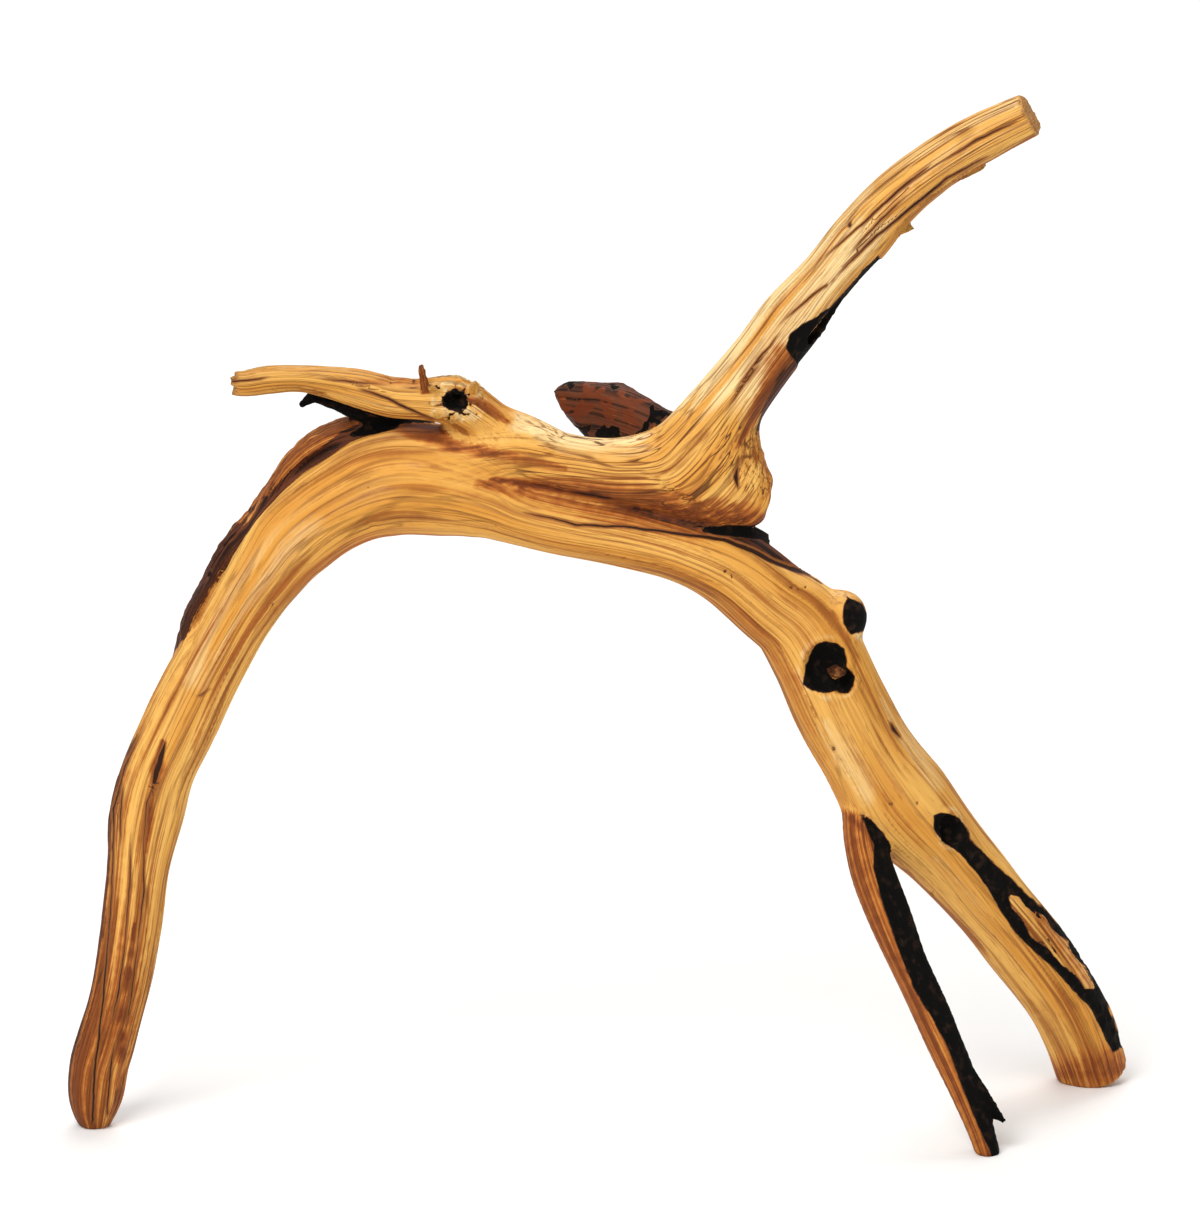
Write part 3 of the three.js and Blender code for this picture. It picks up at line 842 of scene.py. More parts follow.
print("outlined marks:", len((HEART, SCAR, SCAR_ISLAND, COLLAR_DOME, POCKET)), "and specks:", len(SPECKS))

# %% Masks of the scars and knots
heart_black = outline(HEART, "trunk")
scar = outline(SCAR, "trunk", seen=over_the_edge)
scar_island = outline(SCAR_ISLAND, "trunk", seen=over_the_edge)
pocket = outline(POCKET, *UPPER, seen=over_the_edge)
collar_black = outline(COLLAR_DOME, "trunk", seen=over_the_edge)
bough_edge = stroke(BOUGH_EDGE, *UPPER, seen=over_the_edge)
flap_shadow = stroke(FLAP_SHADOW, "trunk", "shoulder", "bark_flap")
groove = softened(stroke(BARK_GROOVE, "trunk", "bark_ridge", "bark_web", seen=front_half), 1)
crease = softened(stroke(CREASE, "trunk", "shoulder", "bark_flap", seen=front_half), 1)
on_prop = softened(share_of("prop", "prong"), 1)
prop_gap = line_gaps(PROP_BLACK_EDGE)[0]
prop_black = on_prop * np.clip(0.5 + prop_gap / OUTLINE_FADE, 0, 1) * ramp(-0.75, -0.45, facing)
specks = np.maximum.reduce(
    [
        patch(speck_across, speck_up, SPECK_WIDE * size, SPECK_TALL * size, "trunk", "stub", *UPPER)
        for speck_across, speck_up, size in SPECKS
    ]
)
# One on a hollow's rim, less inside it and more outside.
heart_rim = np.minimum(hollows["heart_knot"].size_at(points)[0], hollows["heart_lobe"].size_at(points)[0])
stub_rim = hollows["stub_knot"].size_at(points)[0]
head_rim = hollows["scar_head"].size_at(points)[0]
bump_rim = heart_bump.size_at(points)[0]
torn = ramp(3.3, 2.2, stub_rim + 0.7 * speckle(2.2, 31)) * owned("stub", "shoulder", "trunk", *splinters)
print("points in a scar:", int((scar > 0.5).sum()))

# %% [markdown]
# ## Carving the surface
# Peeled root wood has long flutes along each limb, fine ridges of grain, and rough bark where it was not
# peeled. The flutes and the grain are noise stretched along the grain coordinates. A Displace modifier
# with a texture can't follow a bent limb, so the heights are worked out per point and added together.

# %% Noise for the carving
flutes = along_grain(60, 7, 1.7)
ridges = along_grain(40, 2.7, 5.1)
fine_ridges = along_grain(26, 1.5, 9.4)
check_lines = ramp(0.09, 0.0, np.abs(along_grain(60, 4.4, 11.9)))
check_lines *= ramp(-0.15, 0.25, along_grain(40, 9, 15.2))
bark_scales = speckle(2.8) + 0.6 * speckle(1.4, 4)
rough_inside = speckle(1.6, 9) + 0.5 * speckle(3.2, 2)
torn_lumps = speckle(1.15, 17) + 0.5 * speckle(2.4, 23)
dashes = cloud(own_grain * (1 / 7, 1 / 1.4, 1 / 1.4) + 41)
print(f"flutes: {flutes.min():.2f} to {flutes.max():.2f}, ridges: {ridges.min():.2f} to {ridges.max():.2f}")

# %% Where the grain lines show
LINES_ON_WOOD = 0.4
LINES_ON_UPPER = 0.45
LINES_OFF_PALE_LIT_BOUGH = 0.3
LINES_ON_STUB = 0.2
LINES_ON_LOW_LEG = 0.6
LINES_ON_BARK = 0.3
LINES_OFF_SNAG = 0.7
LINES_OFF_RIGHT_LEG = 0.1
LINES_BEHIND = 0.55
LINES_ON_ISLAND = 1.1
LINES_OFF_FORKS = 2.6
BARK_LIMBS = ("bark_ridge", "bark_web", "web_tooth", "back_snag", "bark_flap")
bark_limbs = softened(owned(*BARK_LIMBS).astype(float), 2)
snag = owned("back_snag").astype(float)
left_leg = owned("trunk") * ramp(-80, -100, points[:, 0])
leg_low = ramp(100, 15, up)
behind = ramp(0.1, -0.5, facing)
upper_share = ramp(0, 1, share_of(*UPPER, soft=6.0))
# The paler stretch of the bough: partly pale wood, partly painted light on its lit lower-left side.
pale_lit_bough = owned("bough") * ramp(176, 190, up) * ramp(240, 222, up)
line_strength = LINES_ON_WOOD + upper_share * (LINES_ON_UPPER - LINES_OFF_PALE_LIT_BOUGH * pale_lit_bough)
line_strength += LINES_ON_STUB * share_of("stub") + LINES_ON_LOW_LEG * left_leg * leg_low
line_strength += LINES_ON_BARK * bark_limbs - LINES_OFF_SNAG * snag
line_strength -= LINES_OFF_RIGHT_LEG * ramp(40, 60, across)
line_strength = np.maximum.reduce([line_strength, LINES_BEHIND * behind, LINES_ON_ISLAND * scar_island])
line_strength *= 1 - LINES_OFF_FORKS * grain_mix * (1 - grain_mix)
line_strength = softened(np.clip(line_strength, 0, 1), 3)
print(f"mean strength of the grain lines: {line_strength.mean():.2f}")

# %% Heights in millimetres
FLUTE_HEIGHT = 0.4
RIDGE_HEIGHT = 0.1
LINED_RIDGE_HEIGHT = 0.3
FINE_RIDGE_HEIGHT = 0.12
CHECK_DEPTH = 0.4
BARK_SCALE_HEIGHT = 0.3
SNAG_RIDGE_HEIGHT = 0.5
CRACK_DEPTH = 0.5
SCAR_DEPTH = 0.3
SCAR_FRONT_DEPTH = 0.6
SCAR_ROUGHNESS = 0.4
ISLAND_LIFT = 0.7
POCKET_DEPTH = 0.5
GROOVE_DEPTH = 0.9
CREASE_DEPTH = 0.5
SPECK_DEPTH = 0.35
HEART_RIM_HEIGHT = 0.5
HEART_ROUGHNESS = 0.6
HEAD_RIM_HEIGHT = 0.4
TORN_HEIGHT = 0.95
GUTTER_DEPTH = 0.9
FLOOR_BAND = 0.25


def wood_height():
    """Flutes, ridges and checks of the peeled wood, and the scales of the bark."""
    wood = FLUTE_HEIGHT * flutes + (RIDGE_HEIGHT + LINED_RIDGE_HEIGHT * line_strength) * ridges
    wood += FINE_RIDGE_HEIGHT * fine_ridges - CHECK_DEPTH * line_strength * check_lines
    bark_rise = BARK_SCALE_HEIGHT * bark_scales * bark_limbs + SNAG_RIDGE_HEIGHT * ridges * snag
    return wood * (1 - 0.5 * bark_limbs) + bark_rise


def scar_height():
    """The long scar lies low and rough; its island of wood is lifted again and split into strands."""
    sunk = SCAR_DEPTH + SCAR_FRONT_DEPTH * front + SCAR_ROUGHNESS * rough_inside
    sunk *= ramp(0.35, 0.9, scar) * (1 - ISLAND_LIFT * ramp(0.4, 0.8, scar_island))
    strands = 0.6 * ridges + 0.5 * fine_ridges + 0.2 * rough_inside
    return strands * ramp(0.3, 0.6, scar_island) - sunk


def knot_height():
    """Raised rims round the knots, a rough floor in the heart, and torn fibres round the stub's knot."""
    rise = HEART_RIM_HEIGHT * bell(heart_rim, 1.2, 0.13)
    rise += HEART_ROUGHNESS * rough_inside * ramp(1.1, 0.9, heart_rim)
    rise += HEAD_RIM_HEIGHT * bell(head_rim, 1.35, 0.15) * front
    return rise + TORN_HEIGHT * torn_lumps * torn * front


def sunk_lines():
    """Cracks, the pocket, the groove, the crease, the specks and the prop leg's gutter."""
    _, prop_side, prop_deep, _, _ = limbs["prop"].measure(points)
    gutter = on_prop * ramp(-0.1, 0.9, prop_gap) * ramp(-1.1, -0.8, prop_side) * ramp(0.6, 0.1, prop_deep)
    sunk = CRACK_DEPTH * crack_groove + POCKET_DEPTH * ramp(0.3, 0.9, pocket)
    sunk += GROOVE_DEPTH * ramp(0.1, 0.8, groove) + CREASE_DEPTH * ramp(0.0, 0.9, crease)
    return sunk + SPECK_DEPTH * ramp(0.2, 0.7, specks) + GUTTER_DEPTH * softened(gutter, 1)


height = wood_height() + scar_height() + knot_height() - sunk_lines()
carved = points + normals * height[:, None]
carved[:, 2] = np.where(points[:, 2] < FLOOR_BAND, points[:, 2], carved[:, 2])
carved[:, 2] = np.maximum(carved[:, 2], 0)
write_points(carved)
print(f"carving: {height.min():.2f} to {height.max():.2f} mm")

# %% [markdown]
# ## Rust-red stains and painted shade
# Damp wood rusts to red-brown at the feet and where bark has just come off. The red-brown in and along the
# crease and under the stub is painted shade, and along the arch's underside it is partly painted shade. The
# material gets soft fields, not finished colours: the shader breaks their edges up with its own fine noise,
# so an edge can be sharper than the mesh. Each stain has a strength, its limbs and its line.

# %% Rust and painted shade
TRUNK_ONLY = ("trunk",)
RUST_AND_SHADE_STAINS = {
    "beside_stub": (0.8, CROWN, [
        (-54, 180.2, 0.6), (-44, 177.6, 1.8), (-35.6, 174.6, 2), (-24, 172.4, 1.6), (-8, 169, 0.5)]),
    # The next three are painted shade in and along the crease under the elbow.
    "over_crease": (0.95, ("shoulder",), [
        (-30, 166, 0.6), (-8, 163.6, 2.6), (10, 160, 4.2), (26, 157, 4.6), (40, 156, 3)]),
    "below_crease": (0.8, TRUNK_ONLY, [(-30, 165, 0.8), (-8, 161, 3), (10, 156.6, 3), (26, 153, 2.4)]),
    "in_crease": (1.1, CROWN, [
        (-26, 166.2, 0.6), (-11, 163.9, 1.4), (-0.9, 162.2, 1.8), (10.7, 158.3, 2), (34, 153.4, 1.6)]),
    "below_pocket": (0.9, UPPER, [(34, 174, 0.6), (41, 187, 2.2), (46, 196, 3), (52, 199, 1.6)]),
    "elbow_edge": (0.6, UPPER, [(44, 158, 2.4), (43, 168, 2.6), (41, 177, 2)]),
    "right_foot": (0.8, TRUNK_ONLY, [(110, 17, 4.4), (132, 20, 5.4)]),
    "left_of_heart": (0.4, TRUNK_ONLY, [(44, 141, 1), (50, 134, 3), (54.4, 127, 3.4), (50, 116, 2)]),
    "above_scar": (0.3, TRUNK_ONLY, [(62, 99, 1), (69.7, 88.7, 2.6), (80, 76, 1.6)]),
    # Partly rust, partly painted shade along the arch's underside.
    "under_arch": (0.45, CROWN, [
        (-100, 100, 1.2), (-92, 120, 1.4), (-80, 137, 1.8), (-60, 151, 2.4), (-30, 151, 2), (10, 144, 1)]),
    "under_bend": (0.45, TRUNK_ONLY, [(20, 140, 0.8), (38, 130, 2.2), (47, 117, 1.8), (56, 97, 1)]),
    "stub_top": (0.55, ("stub",), [(-60, 190, 0.8), (-51, 190.5, 1.2), (-44, 190, 1.6)]),
    "leg_lens": (1.2, TRUNK_ONLY, [(-110.6, 88, 0.3), (-109, 95, 1.5), (-107.6, 102, 0.3)]),
    "below_lens": (0.95, TRUNK_ONLY, [(-110.4, 89, 0.6), (-111.2, 83, 1.1), (-112, 74, 0.4)]),
    "stub_knot": (0.85, ("stub", "shoulder"), [(-33, 186, 1), (-28.6, 184.6, 1.4), (-22, 180.4, 0.6)]),
    # Painted shade under the stub.
    "under_stub": (1.1, CROWN, [(-52, 181, 1.4), (-45, 179.8, 1.8), (-38, 178.2, 1.4), (-33, 176.6, 0.6)]),
    "prop_top": (1.1, ("prop",), [(62.5, 82.5, 1), (66, 79.5, 2), (68.6, 75, 1.6)]),
}
MOTTLED_STAINS = {
    "left_shin": (1.1, TRUNK_ONLY, [(-115, 56, 0.4), (-116.4, 44, 2), (-118, 30, 2.4), (-119, 22, 0.6)]),
    "left_foot": (0.9, TRUNK_ONLY, [(-117.6, 24, 0.6), (-119, 14, 2), (-120, 6, 2)]),
}
PROP_RUST = 0.78
TWIG_RUST = 0.9
BUMP_RUST = 0.5
ISLAND_RUST = 0.42


def stained(table):
    """The strongest of some soft wide strokes at each point."""
    strokes = [strength * ramp(0, 1, stroke(line, *on)) for strength, on, line in table.values()]
    return np.maximum.reduce(strokes)


trunk_side = first_grain[:, 1] / GRAIN_ROUND
upper_side = second_grain[:, 1] / GRAIN_ROUND
leg_rust = leg_low * (0.55 + 0.45 * ramp(0.6, -0.2, trunk_side))
leg_rust += 0.4 * ramp(-0.2, -0.9, trunk_side) * (1 - leg_low)
red_mottle = np.clip(0.85 + 0.7 * speckle(3.2, 61), 0, 1.2)
bark_face = np.where(owned("bark_ridge"), 0.75, 1.1) * bark_limbs + 0.5 * snag
rust_and_shade_parts = [
    0.5 * np.clip(0.1 + 0.5 * along_grain(80, 10, 3.3), 0, 1),
    left_leg * leg_rust,
    stained(RUST_AND_SHADE_STAINS),
    stained(MOTTLED_STAINS) * red_mottle,
    PROP_RUST * on_prop,
    bark_face,
    TWIG_RUST * owned("twig"),
    behind * np.clip(0.3 + 0.9 * along_grain(60, 8, 6.3), 0, 0.8),
    BUMP_RUST * ramp(1.25, 0.95, bump_rim),
    ISLAND_RUST * ramp(0.3, 0.7, scar_island),
]
rust_and_shade = np.maximum.reduce(rust_and_shade_parts)
print("rusty points:", int((rust_and_shade > 0.5).sum()))

# %% [markdown]
# ## Char, bark and painted shadow
# The black of the knots and scars is rotten wood, called char here for short. The char field also holds
# painted
# shadow: in the groove under the stub, on the web beneath it, under the bark flap and along the crease. Bark
# is dark brown and stays in the grooves, on the ridge down the left leg and on the snag; the bark field also
# holds painted shade along the crease. Both fields are built as the strongest of many masks, so that
# overlapping marks don't add up to more than one.

# %% Char and painted shadow
SPECK_CHAR = 0.53
# Painted shadow: black in the groove under the stub, under the bark flap and along the crease.
GROOVE_SHADOW = 0.9
SHADOW_CHAR = 0.9
CREASE_SHADOW = 0.66
TORN_CHAR = 0.62
FLAP_CHAR = 0.6
SNAG_CHAR = 0.6
snag_blotches = speckle(5, 3) + 0.6 * speckle(2, 8) + 0.7 * ramp(184, 178, up) + 0.5 * ramp(188.4, 190.2, up)
char_and_shadow_parts = [
    heart_black,
    np.clip((1.45 - stub_rim + 0.35 * speckle(1.1)) / 0.6, 0, 1),
    scar,
    pocket,
    collar_black,
    SPECK_CHAR * specks,
    prop_black,
    # Painted shadow: black in the groove under the stub.
    GROOVE_SHADOW * groove * ramp(-70, -56, across),
    TORN_CHAR * torn * front * ramp(0.15, 0.5, -torn_lumps),
    SHADOW_CHAR * flap_shadow,
    # Painted shadow along the crease.
    CREASE_SHADOW * ramp(0.5, 0.95, crease) * ramp(-5, 25, across),
]
char = np.maximum.reduce(char_and_shadow_parts)
island_lines = 0.62 * ramp(0.12, 0.42, dashes) + 0.2 * ramp(0.1, 0.4, rough_inside)
island_char = np.minimum(char, np.maximum(1 - scar_island, island_lines))
char = np.where(scar_island > 0.3, island_char, char)
# The web under the stub is painted black as shadow, less so where it faces the front.
char = np.maximum(char, np.clip(owned("bark_web", "web_tooth") * (0.75 - 0.2 * facing), 0, 1))
char = np.maximum(char, FLAP_CHAR * owned("bark_flap"))
char *= ramp(0.85, 1.15, bump_rim)
char = np.maximum(char, SNAG_CHAR * snag * ramp(0.3, 0.75, snag_blotches))
print("charred points:", int((char > 0.5).sum()))

# %% Bark and painted shade
LEG_BARK = 0.85
CREASE_SHADE = 0.5
GROOVE_BARK = 1.1
wavy_up = up + 9 * edge_wave
ridge_high = ramp(-0.1, -0.5, upper_side) * ramp(138, 150, up)
ridge_low = ramp(172, 146, wavy_up) * ramp(-0.9, -0.3, upper_side)
ridge_bark = owned("bark_ridge") * np.maximum(ridge_high, ridge_low) * ramp(104, 122, wavy_up)
strand_top = owned("trunk") * ramp(28, 36, across) * ramp(63, 57, across) * (normals[:, 2] > 0)
bark_parts = [
    bark_limbs * ridge_bark,
    LEG_BARK * left_leg * ramp(-0.82, -1.0, trunk_side) * ramp(112, 98, up),
    snag * ramp(-0.35, 0.35, snag_blotches),
    strand_top * ramp(-0.3, 0.5, line_gaps(STRAND_CRACK)[0]),
    owned("bark_flap").astype(float),
    behind * ramp(0.3, 0.5, along_grain(45, 7, 8.8)),
    # Painted shade along the crease.
    CREASE_SHADE * ramp(0.2, 0.9, crease),
    bough_edge,
    GROOVE_BARK * ramp(0.25, 0.6, groove) * ramp(126, 150, up),
]
bark = np.maximum.reduce(bark_parts)
print("barky points:", int((bark > 0.5).sum()))

# %% [markdown]
# ## Pale wood, painted highlight and shade, and cut ends
# Sun and handling bleach patches, the tops and the lips of the limbs, and the valleys between the ridges and
# flutes are darker. The tops and some upper-left sides also get painted highlight, and the undersides get
# painted shade. One field, the tone, holds all of it: above zero is paler wood and below zero is darker
# wood. Sawn and broken ends show rings instead of streaks, so they get a field of their own.

# %% Tone
# Pale patches; the crown, left bend, bough and saddle strokes are partly painted highlight on lit tops and
# upper-left sides.
PALE_AND_LIT_STAINS = {
    "right_of_heart": (0.5, TRUNK_ONLY, [(65, 120, 1.4), (74, 105, 2.2), (84, 90, 1.4)]),
    "above_fork": (0.75, TRUNK_ONLY, [(56, 106, 2), (60, 98, 3.4), (66, 88, 3)]),
    "below_collar": (0.8, TRUNK_ONLY, [(63.6, 128, 1), (66, 126.6, 1)]),
    # Partly painted highlight on the top of the crown.
    "crown": (0.35, TRUNK_ONLY, [(-72, 160, 3), (-60, 165, 4), (-46, 168, 3)]),
    "right_leg": (0.4, TRUNK_ONLY, [(84, 72, 2), (99, 54.5, 3.5), (110, 40, 3)]),
    "fork_lip": (0.9, TRUNK_ONLY, [(61, 85, 0.5), (66.4, 83, 0.8), (69.6, 79.4, 0.8), (72, 74.8, 0.4)]),
    # The next four are partly painted highlight on lit tops and sides.
    "left_bend": (0.45, TRUNK_ONLY, [(-100, 118, 3.5), (-90, 136, 3.5), (-72, 156, 4)]),
    "bough_left": (0.5, UPPER, [(26, 186, 3), (38, 203, 3), (52, 221, 3), (66, 237, 2)]),
    "bough_top": (0.5, UPPER, [(60, 225, 3), (80, 243, 3.5), (104, 256, 3.5)]),
    "saddle": (0.8, UPPER, [(-26, 182, 1.5), (-10, 177, 2.5), (10, 176, 2.5)]),
    "under_knot": (0.7, ("stub", "shoulder"), [(-38, 181, 3), (-31, 183, 3)]),
    "stub_lip": (0.6, ("stub",), [(-66, 186.5, 1.2), (-52, 183, 1.2), (-44, 180, 1.2)]),
}
PALE_LIT_BOUGH = 0.95
PALE_ISLAND = 0.55
PALER_AND_LIT_TOPS = 0.35
PALE_RIMS = 0.7
PALE_BUMP = 0.5
DARK_VALLEYS = 0.6
DARK_FLUTES = 0.4
DARK_CHECKS = 0.4
PAINTED_UNDERSIDE_SHADE = 0.5
pale_and_lit_parts = [
    stained(PALE_AND_LIT_STAINS),
    # Partly pale wood, partly painted light on the bough's lit lower-left side.
    PALE_LIT_BOUGH * pale_lit_bough * ramp(0.9, 0.3, upper_side),
    PALE_ISLAND * ramp(0.4, 0.7, scar_island) * ramp(-0.4, 0.3, -dashes),
]
rims = bell(heart_rim, 1.25, 0.16) + bell(head_rim, 1.5, 0.2) * front
# Paler tops: partly bleaching, partly painted highlight. The pale rims are the wood's own.
tone = np.maximum.reduce(pale_and_lit_parts) + PALER_AND_LIT_TOPS * ramp(0.3, 0.95, normals[:, 2]) + PALE_RIMS * rims
tone += torn * front * (0.25 + 0.8 * torn_lumps) + PALE_BUMP * ramp(1.2, 0.8, bump_rim)
tone -= DARK_VALLEYS * ramp(0.12, 0.5, -ridges) + DARK_FLUTES * ramp(0.15, 0.6, -flutes)
# Darker checks, and painted shade on the undersides.
tone -= DARK_CHECKS * check_lines + PAINTED_UNDERSIDE_SHADE * ramp(-0.1, -0.8, normals[:, 2])
tone = np.clip(tone, -1, 1)
print(f"tone: {tone.min():.2f} to {tone.max():.2f}")

# %% Cut ends, and the fields written on the mesh
ENDED_LIMBS = ("trunk", "bough", "stub", "back_snag")


def write_field(name, *columns):
    """Keep up to three numbers per point under one name, where a shader can read them."""
    vectors = np.column_stack(columns)
    field = root.data.attributes.new(name, "FLOAT_VECTOR", "POINT")
    field.data.foreach_set("vector", vectors.ravel())


end_gap = np.full(len(points), FAR_AWAY)
for name in ENDED_LIMBS:
    where, _, _, _, _ = limbs[name].measure(points)
    end_gap = np.where(owner == name, limbs[name].length - where, end_gap)
cut_end = ramp(1.3, 0.2, end_gap)
write_field("first_grain", *first_grain.T)
write_field("second_grain", *second_grain.T)
write_field("stains_and_shade", char, bark, rust_and_shade)
write_field("marks", tone, cut_end, grain_mix)
write_field("cracks", crack_side, crack_wide, line_strength)
print("fields:", [field.name for field in root.data.attributes if field.data_type == "FLOAT_VECTOR"])

# %% [markdown]
# ## Helpers for the material
# A wood material needs dozens of small nodes, so short functions add and link them. Colours are given from
# 0 to 255 and turned into the linear values that a shader takes. The same tree could be wired by
# hand in the Shader Editor.

# %% Material helpers


def linear(red, green, blue):
    """A colour given 0 to 255, as the linear colour a shader takes."""
    shares = np.array([red, green, blue]) / 255
    values = np.where(shares <= 0.04045, shares / 12.92, ((shares + 0.055) / 1.055) ** 2.4)
    return (*values.tolist(), 1.0)


def add(tree, kind, values=(), **settings):
    """A node with its settings, and its inputs given by name or number: a value, or a socket to link."""
    node = tree.nodes.new(kind)
    for setting, value in settings.items():
        setattr(node, setting, value)
    for key, value in dict(values).items():
        if isinstance(value, bpy.types.NodeSocket):
            tree.links.new(value, node.inputs[key])
        else:
            node.inputs[key].default_value = value
    return node


def maths(tree, operation, first, second=0.0):
    return add(tree, "ShaderNodeMath", {0: first, 1: second}, operation=operation).outputs[0]


def scaled_onto(tree, value, scale, base):
    """The value times a scale, added to a base."""
    return add(tree, "ShaderNodeMath", {0: value, 1: scale, 2: base}, operation="MULTIPLY_ADD").outputs[0]


def soft_step(tree, value, low, high):
    values = {"Value": value, "From Min": low, "From Max": high}
    return add(tree, "ShaderNodeMapRange", values, interpolation_type="SMOOTHSTEP").outputs[0]


def mix_colour(tree, share, first, second):
    values = {0: share, 6: first, 7: second}
    return add(tree, "ShaderNodeMix", values, data_type="RGBA").outputs[2]


def mix_value(tree, share, first, second):
    values = {0: share, 2: first, 3: second}
    return add(tree, "ShaderNodeMix", values, data_type="FLOAT").outputs[0]


def stretched_noise(tree, vector, length, width, detail, seed):
    """Noise about this long along the fibres and this wide across them, in millimetres."""
    size = (1 / length, 1 / width, 1 / width)
    scaled = add(tree, "ShaderNodeVectorMath", {0: vector, 1: size}, operation="MULTIPLY").outputs[0]
    moved = add(tree, "ShaderNodeVectorMath", {0: scaled, 1: (seed, seed, seed)}, operation="ADD").outputs[0]
    values = {"Vector": moved, "Scale": 1.0, "Detail": detail, "Roughness": 0.6}
    return add(tree, "ShaderNodeTexNoise", values).outputs["Fac"]


print("middle grey as a linear colour:", linear(128, 128, 128))

# %% [markdown]
# ## The fibres
# Cut along its length, wood shows broad bands, streaks, hairlines, growth rings and small drying checks.
# All of them are made from the grain coordinates in one node group, so the pattern bends with the limb.
# The group is used twice, once for each set of coordinates. A Wave texture on plain coordinates would
# run straight through the bends.

# %% The fibre group
RING_STEP = 0.9
RING_LEAN = 0.6
RING_BEND = 14.0
END_RING_STEP = 0.8
END_RING_WAVE = 3.0


def ring_lines(group, grain, streaks):
    """Growth rings cut lengthwise: bent lines that break off where the streaks are weak."""
    bend = stretched_noise(group, grain, 120, 9.0, 2.0, 29.0)
    _, side, deep = add(group, "ShaderNodeSeparateXYZ", {0: grain}).outputs
    ring = scaled_onto(group, bend, RING_BEND, scaled_onto(group, deep, RING_LEAN, side))
    ring = soft_step(group, maths(group, "PINGPONG", ring, RING_STEP), 0.55, 0.85)
    return maths(group, "MULTIPLY", ring, soft_step(group, streaks, 0.3, 0.62))


def check_marks(group, grain, bands):
    """Thin drying checks, only in the darker bands."""
    check = maths(group, "SUBTRACT", stretched_noise(group, grain, 90, 3.4, 1.5, 19.0), 0.5)
    check = soft_step(group, maths(group, "ABSOLUTE", check), 0.018, 0.005)
    return maths(group, "MULTIPLY", check, soft_step(group, bands, 0.42, 0.56))


def end_rings(group, grain, streaks):
    """Rings round the limb's middle, for the cut ends."""
    flat = add(group, "ShaderNodeVectorMath", {0: grain, 1: (0, 1, 1)}, operation="MULTIPLY").outputs[0]
    radius = add(group, "ShaderNodeVectorMath", {0: flat}, operation="LENGTH").outputs["Value"]
    return maths(group, "PINGPONG", scaled_onto(group, streaks, END_RING_WAVE, radius), END_RING_STEP)


def make_fibres():
    group = bpy.data.node_groups.new("root_fibres", "ShaderNodeTree")
    group.interface.new_socket("Grain", in_out="INPUT", socket_type="NodeSocketVector")
    grain = group.nodes.new("NodeGroupInput").outputs["Grain"]
    bands = stretched_noise(group, grain, 110, 7.0, 2.5, 2.0)
    streaks = stretched_noise(group, grain, 95, 1.8, 2.5, 7.0)
    values = {
        "Bands": bands,
        "Streaks": streaks,
        "Hairlines": stretched_noise(group, grain, 110, 0.6, 1.0, 13.0),
        "Rings": ring_lines(group, grain, streaks),
        "Checks": check_marks(group, grain, bands),
        "Ends": end_rings(group, grain, streaks),
        "Flecks": soft_step(group, stretched_noise(group, grain, 6.0, 0.55, 1.0, 37.0), 0.6, 0.74),
    }
    for name in values:
        group.interface.new_socket(name, in_out="OUTPUT", socket_type="NodeSocketFloat")
    result = group.nodes.new("NodeGroupOutput")
    for name, value in values.items():
        group.links.new(value, result.inputs[name])
    return group


fibres = make_fibres()
print("fibre group sockets:", [socket.name for socket in fibres.interface.items_tree])

# %% [markdown]
# ## Root wood
# The colour is laid on in the order the real root got it: honey wood, bleaching with painted highlight,
# darker wood with painted shade, rust with painted shade, the lines of the grain, bark with painted shade,
# cut ends, cracks and last the char with painted shadow. Each layer is a mix whose share is one of the
# fields, frayed along the fibres. Dry wood is dull, so it is rough with little shine, and the char and
# painted shadow are rougher.

# %% Colours of the wood
HONEY = linear(231, 178, 93)
AMBER = linear(209, 144, 60)
# Pale and darker wood, which also carry painted highlight and shade, and the rusts, which also carry painted
# shade.
PALE_AND_LIT = linear(240, 208, 148)
DARKER_AND_SHADED = linear(152, 90, 36)
RUST_AND_SHADE = linear(178, 102, 42)
DARK_RUST_AND_SHADE = linear(106, 50, 25)
STREAK = linear(148, 86, 36)
HAIRLINE = linear(134, 76, 32)
FLECK = linear(150, 92, 42)
RING = linear(120, 66, 26)
CHECK = linear(82, 46, 24)
# Bark colours, which also carry painted shade along the crease.
BARK_AND_SHADE = linear(100, 54, 33)
DARK_BARK_AND_SHADE = linear(38, 24, 18)
END = linear(196, 144, 82)
END_RING = linear(158, 104, 56)
CRACK_EDGE = linear(140, 84, 42)
CRACK = linear(48, 28, 17)
# Char colours, which also carry painted shadow.
CHAR_AND_SHADOW_EDGE = linear(92, 52, 28)
CHAR_AND_SHADOW = linear(7, 6, 5)
BROWN_CHAR_AND_SHADOW = linear(44, 29, 20)
MOTTLE_SCALE = 420.0
FLECK_SHARE = 0.45
CRACK_WOBBLE = 0.4
WOOD_ROUGHNESS = 0.6
CHAR_ROUGHNESS = 0.85
WOOD_SHINE = 0.1
BUMP_STRENGTH = 0.75
BUMP_DISTANCE = 0.6 * MM
print("honey wood as a linear colour:", HONEY)

# %% What the layers share


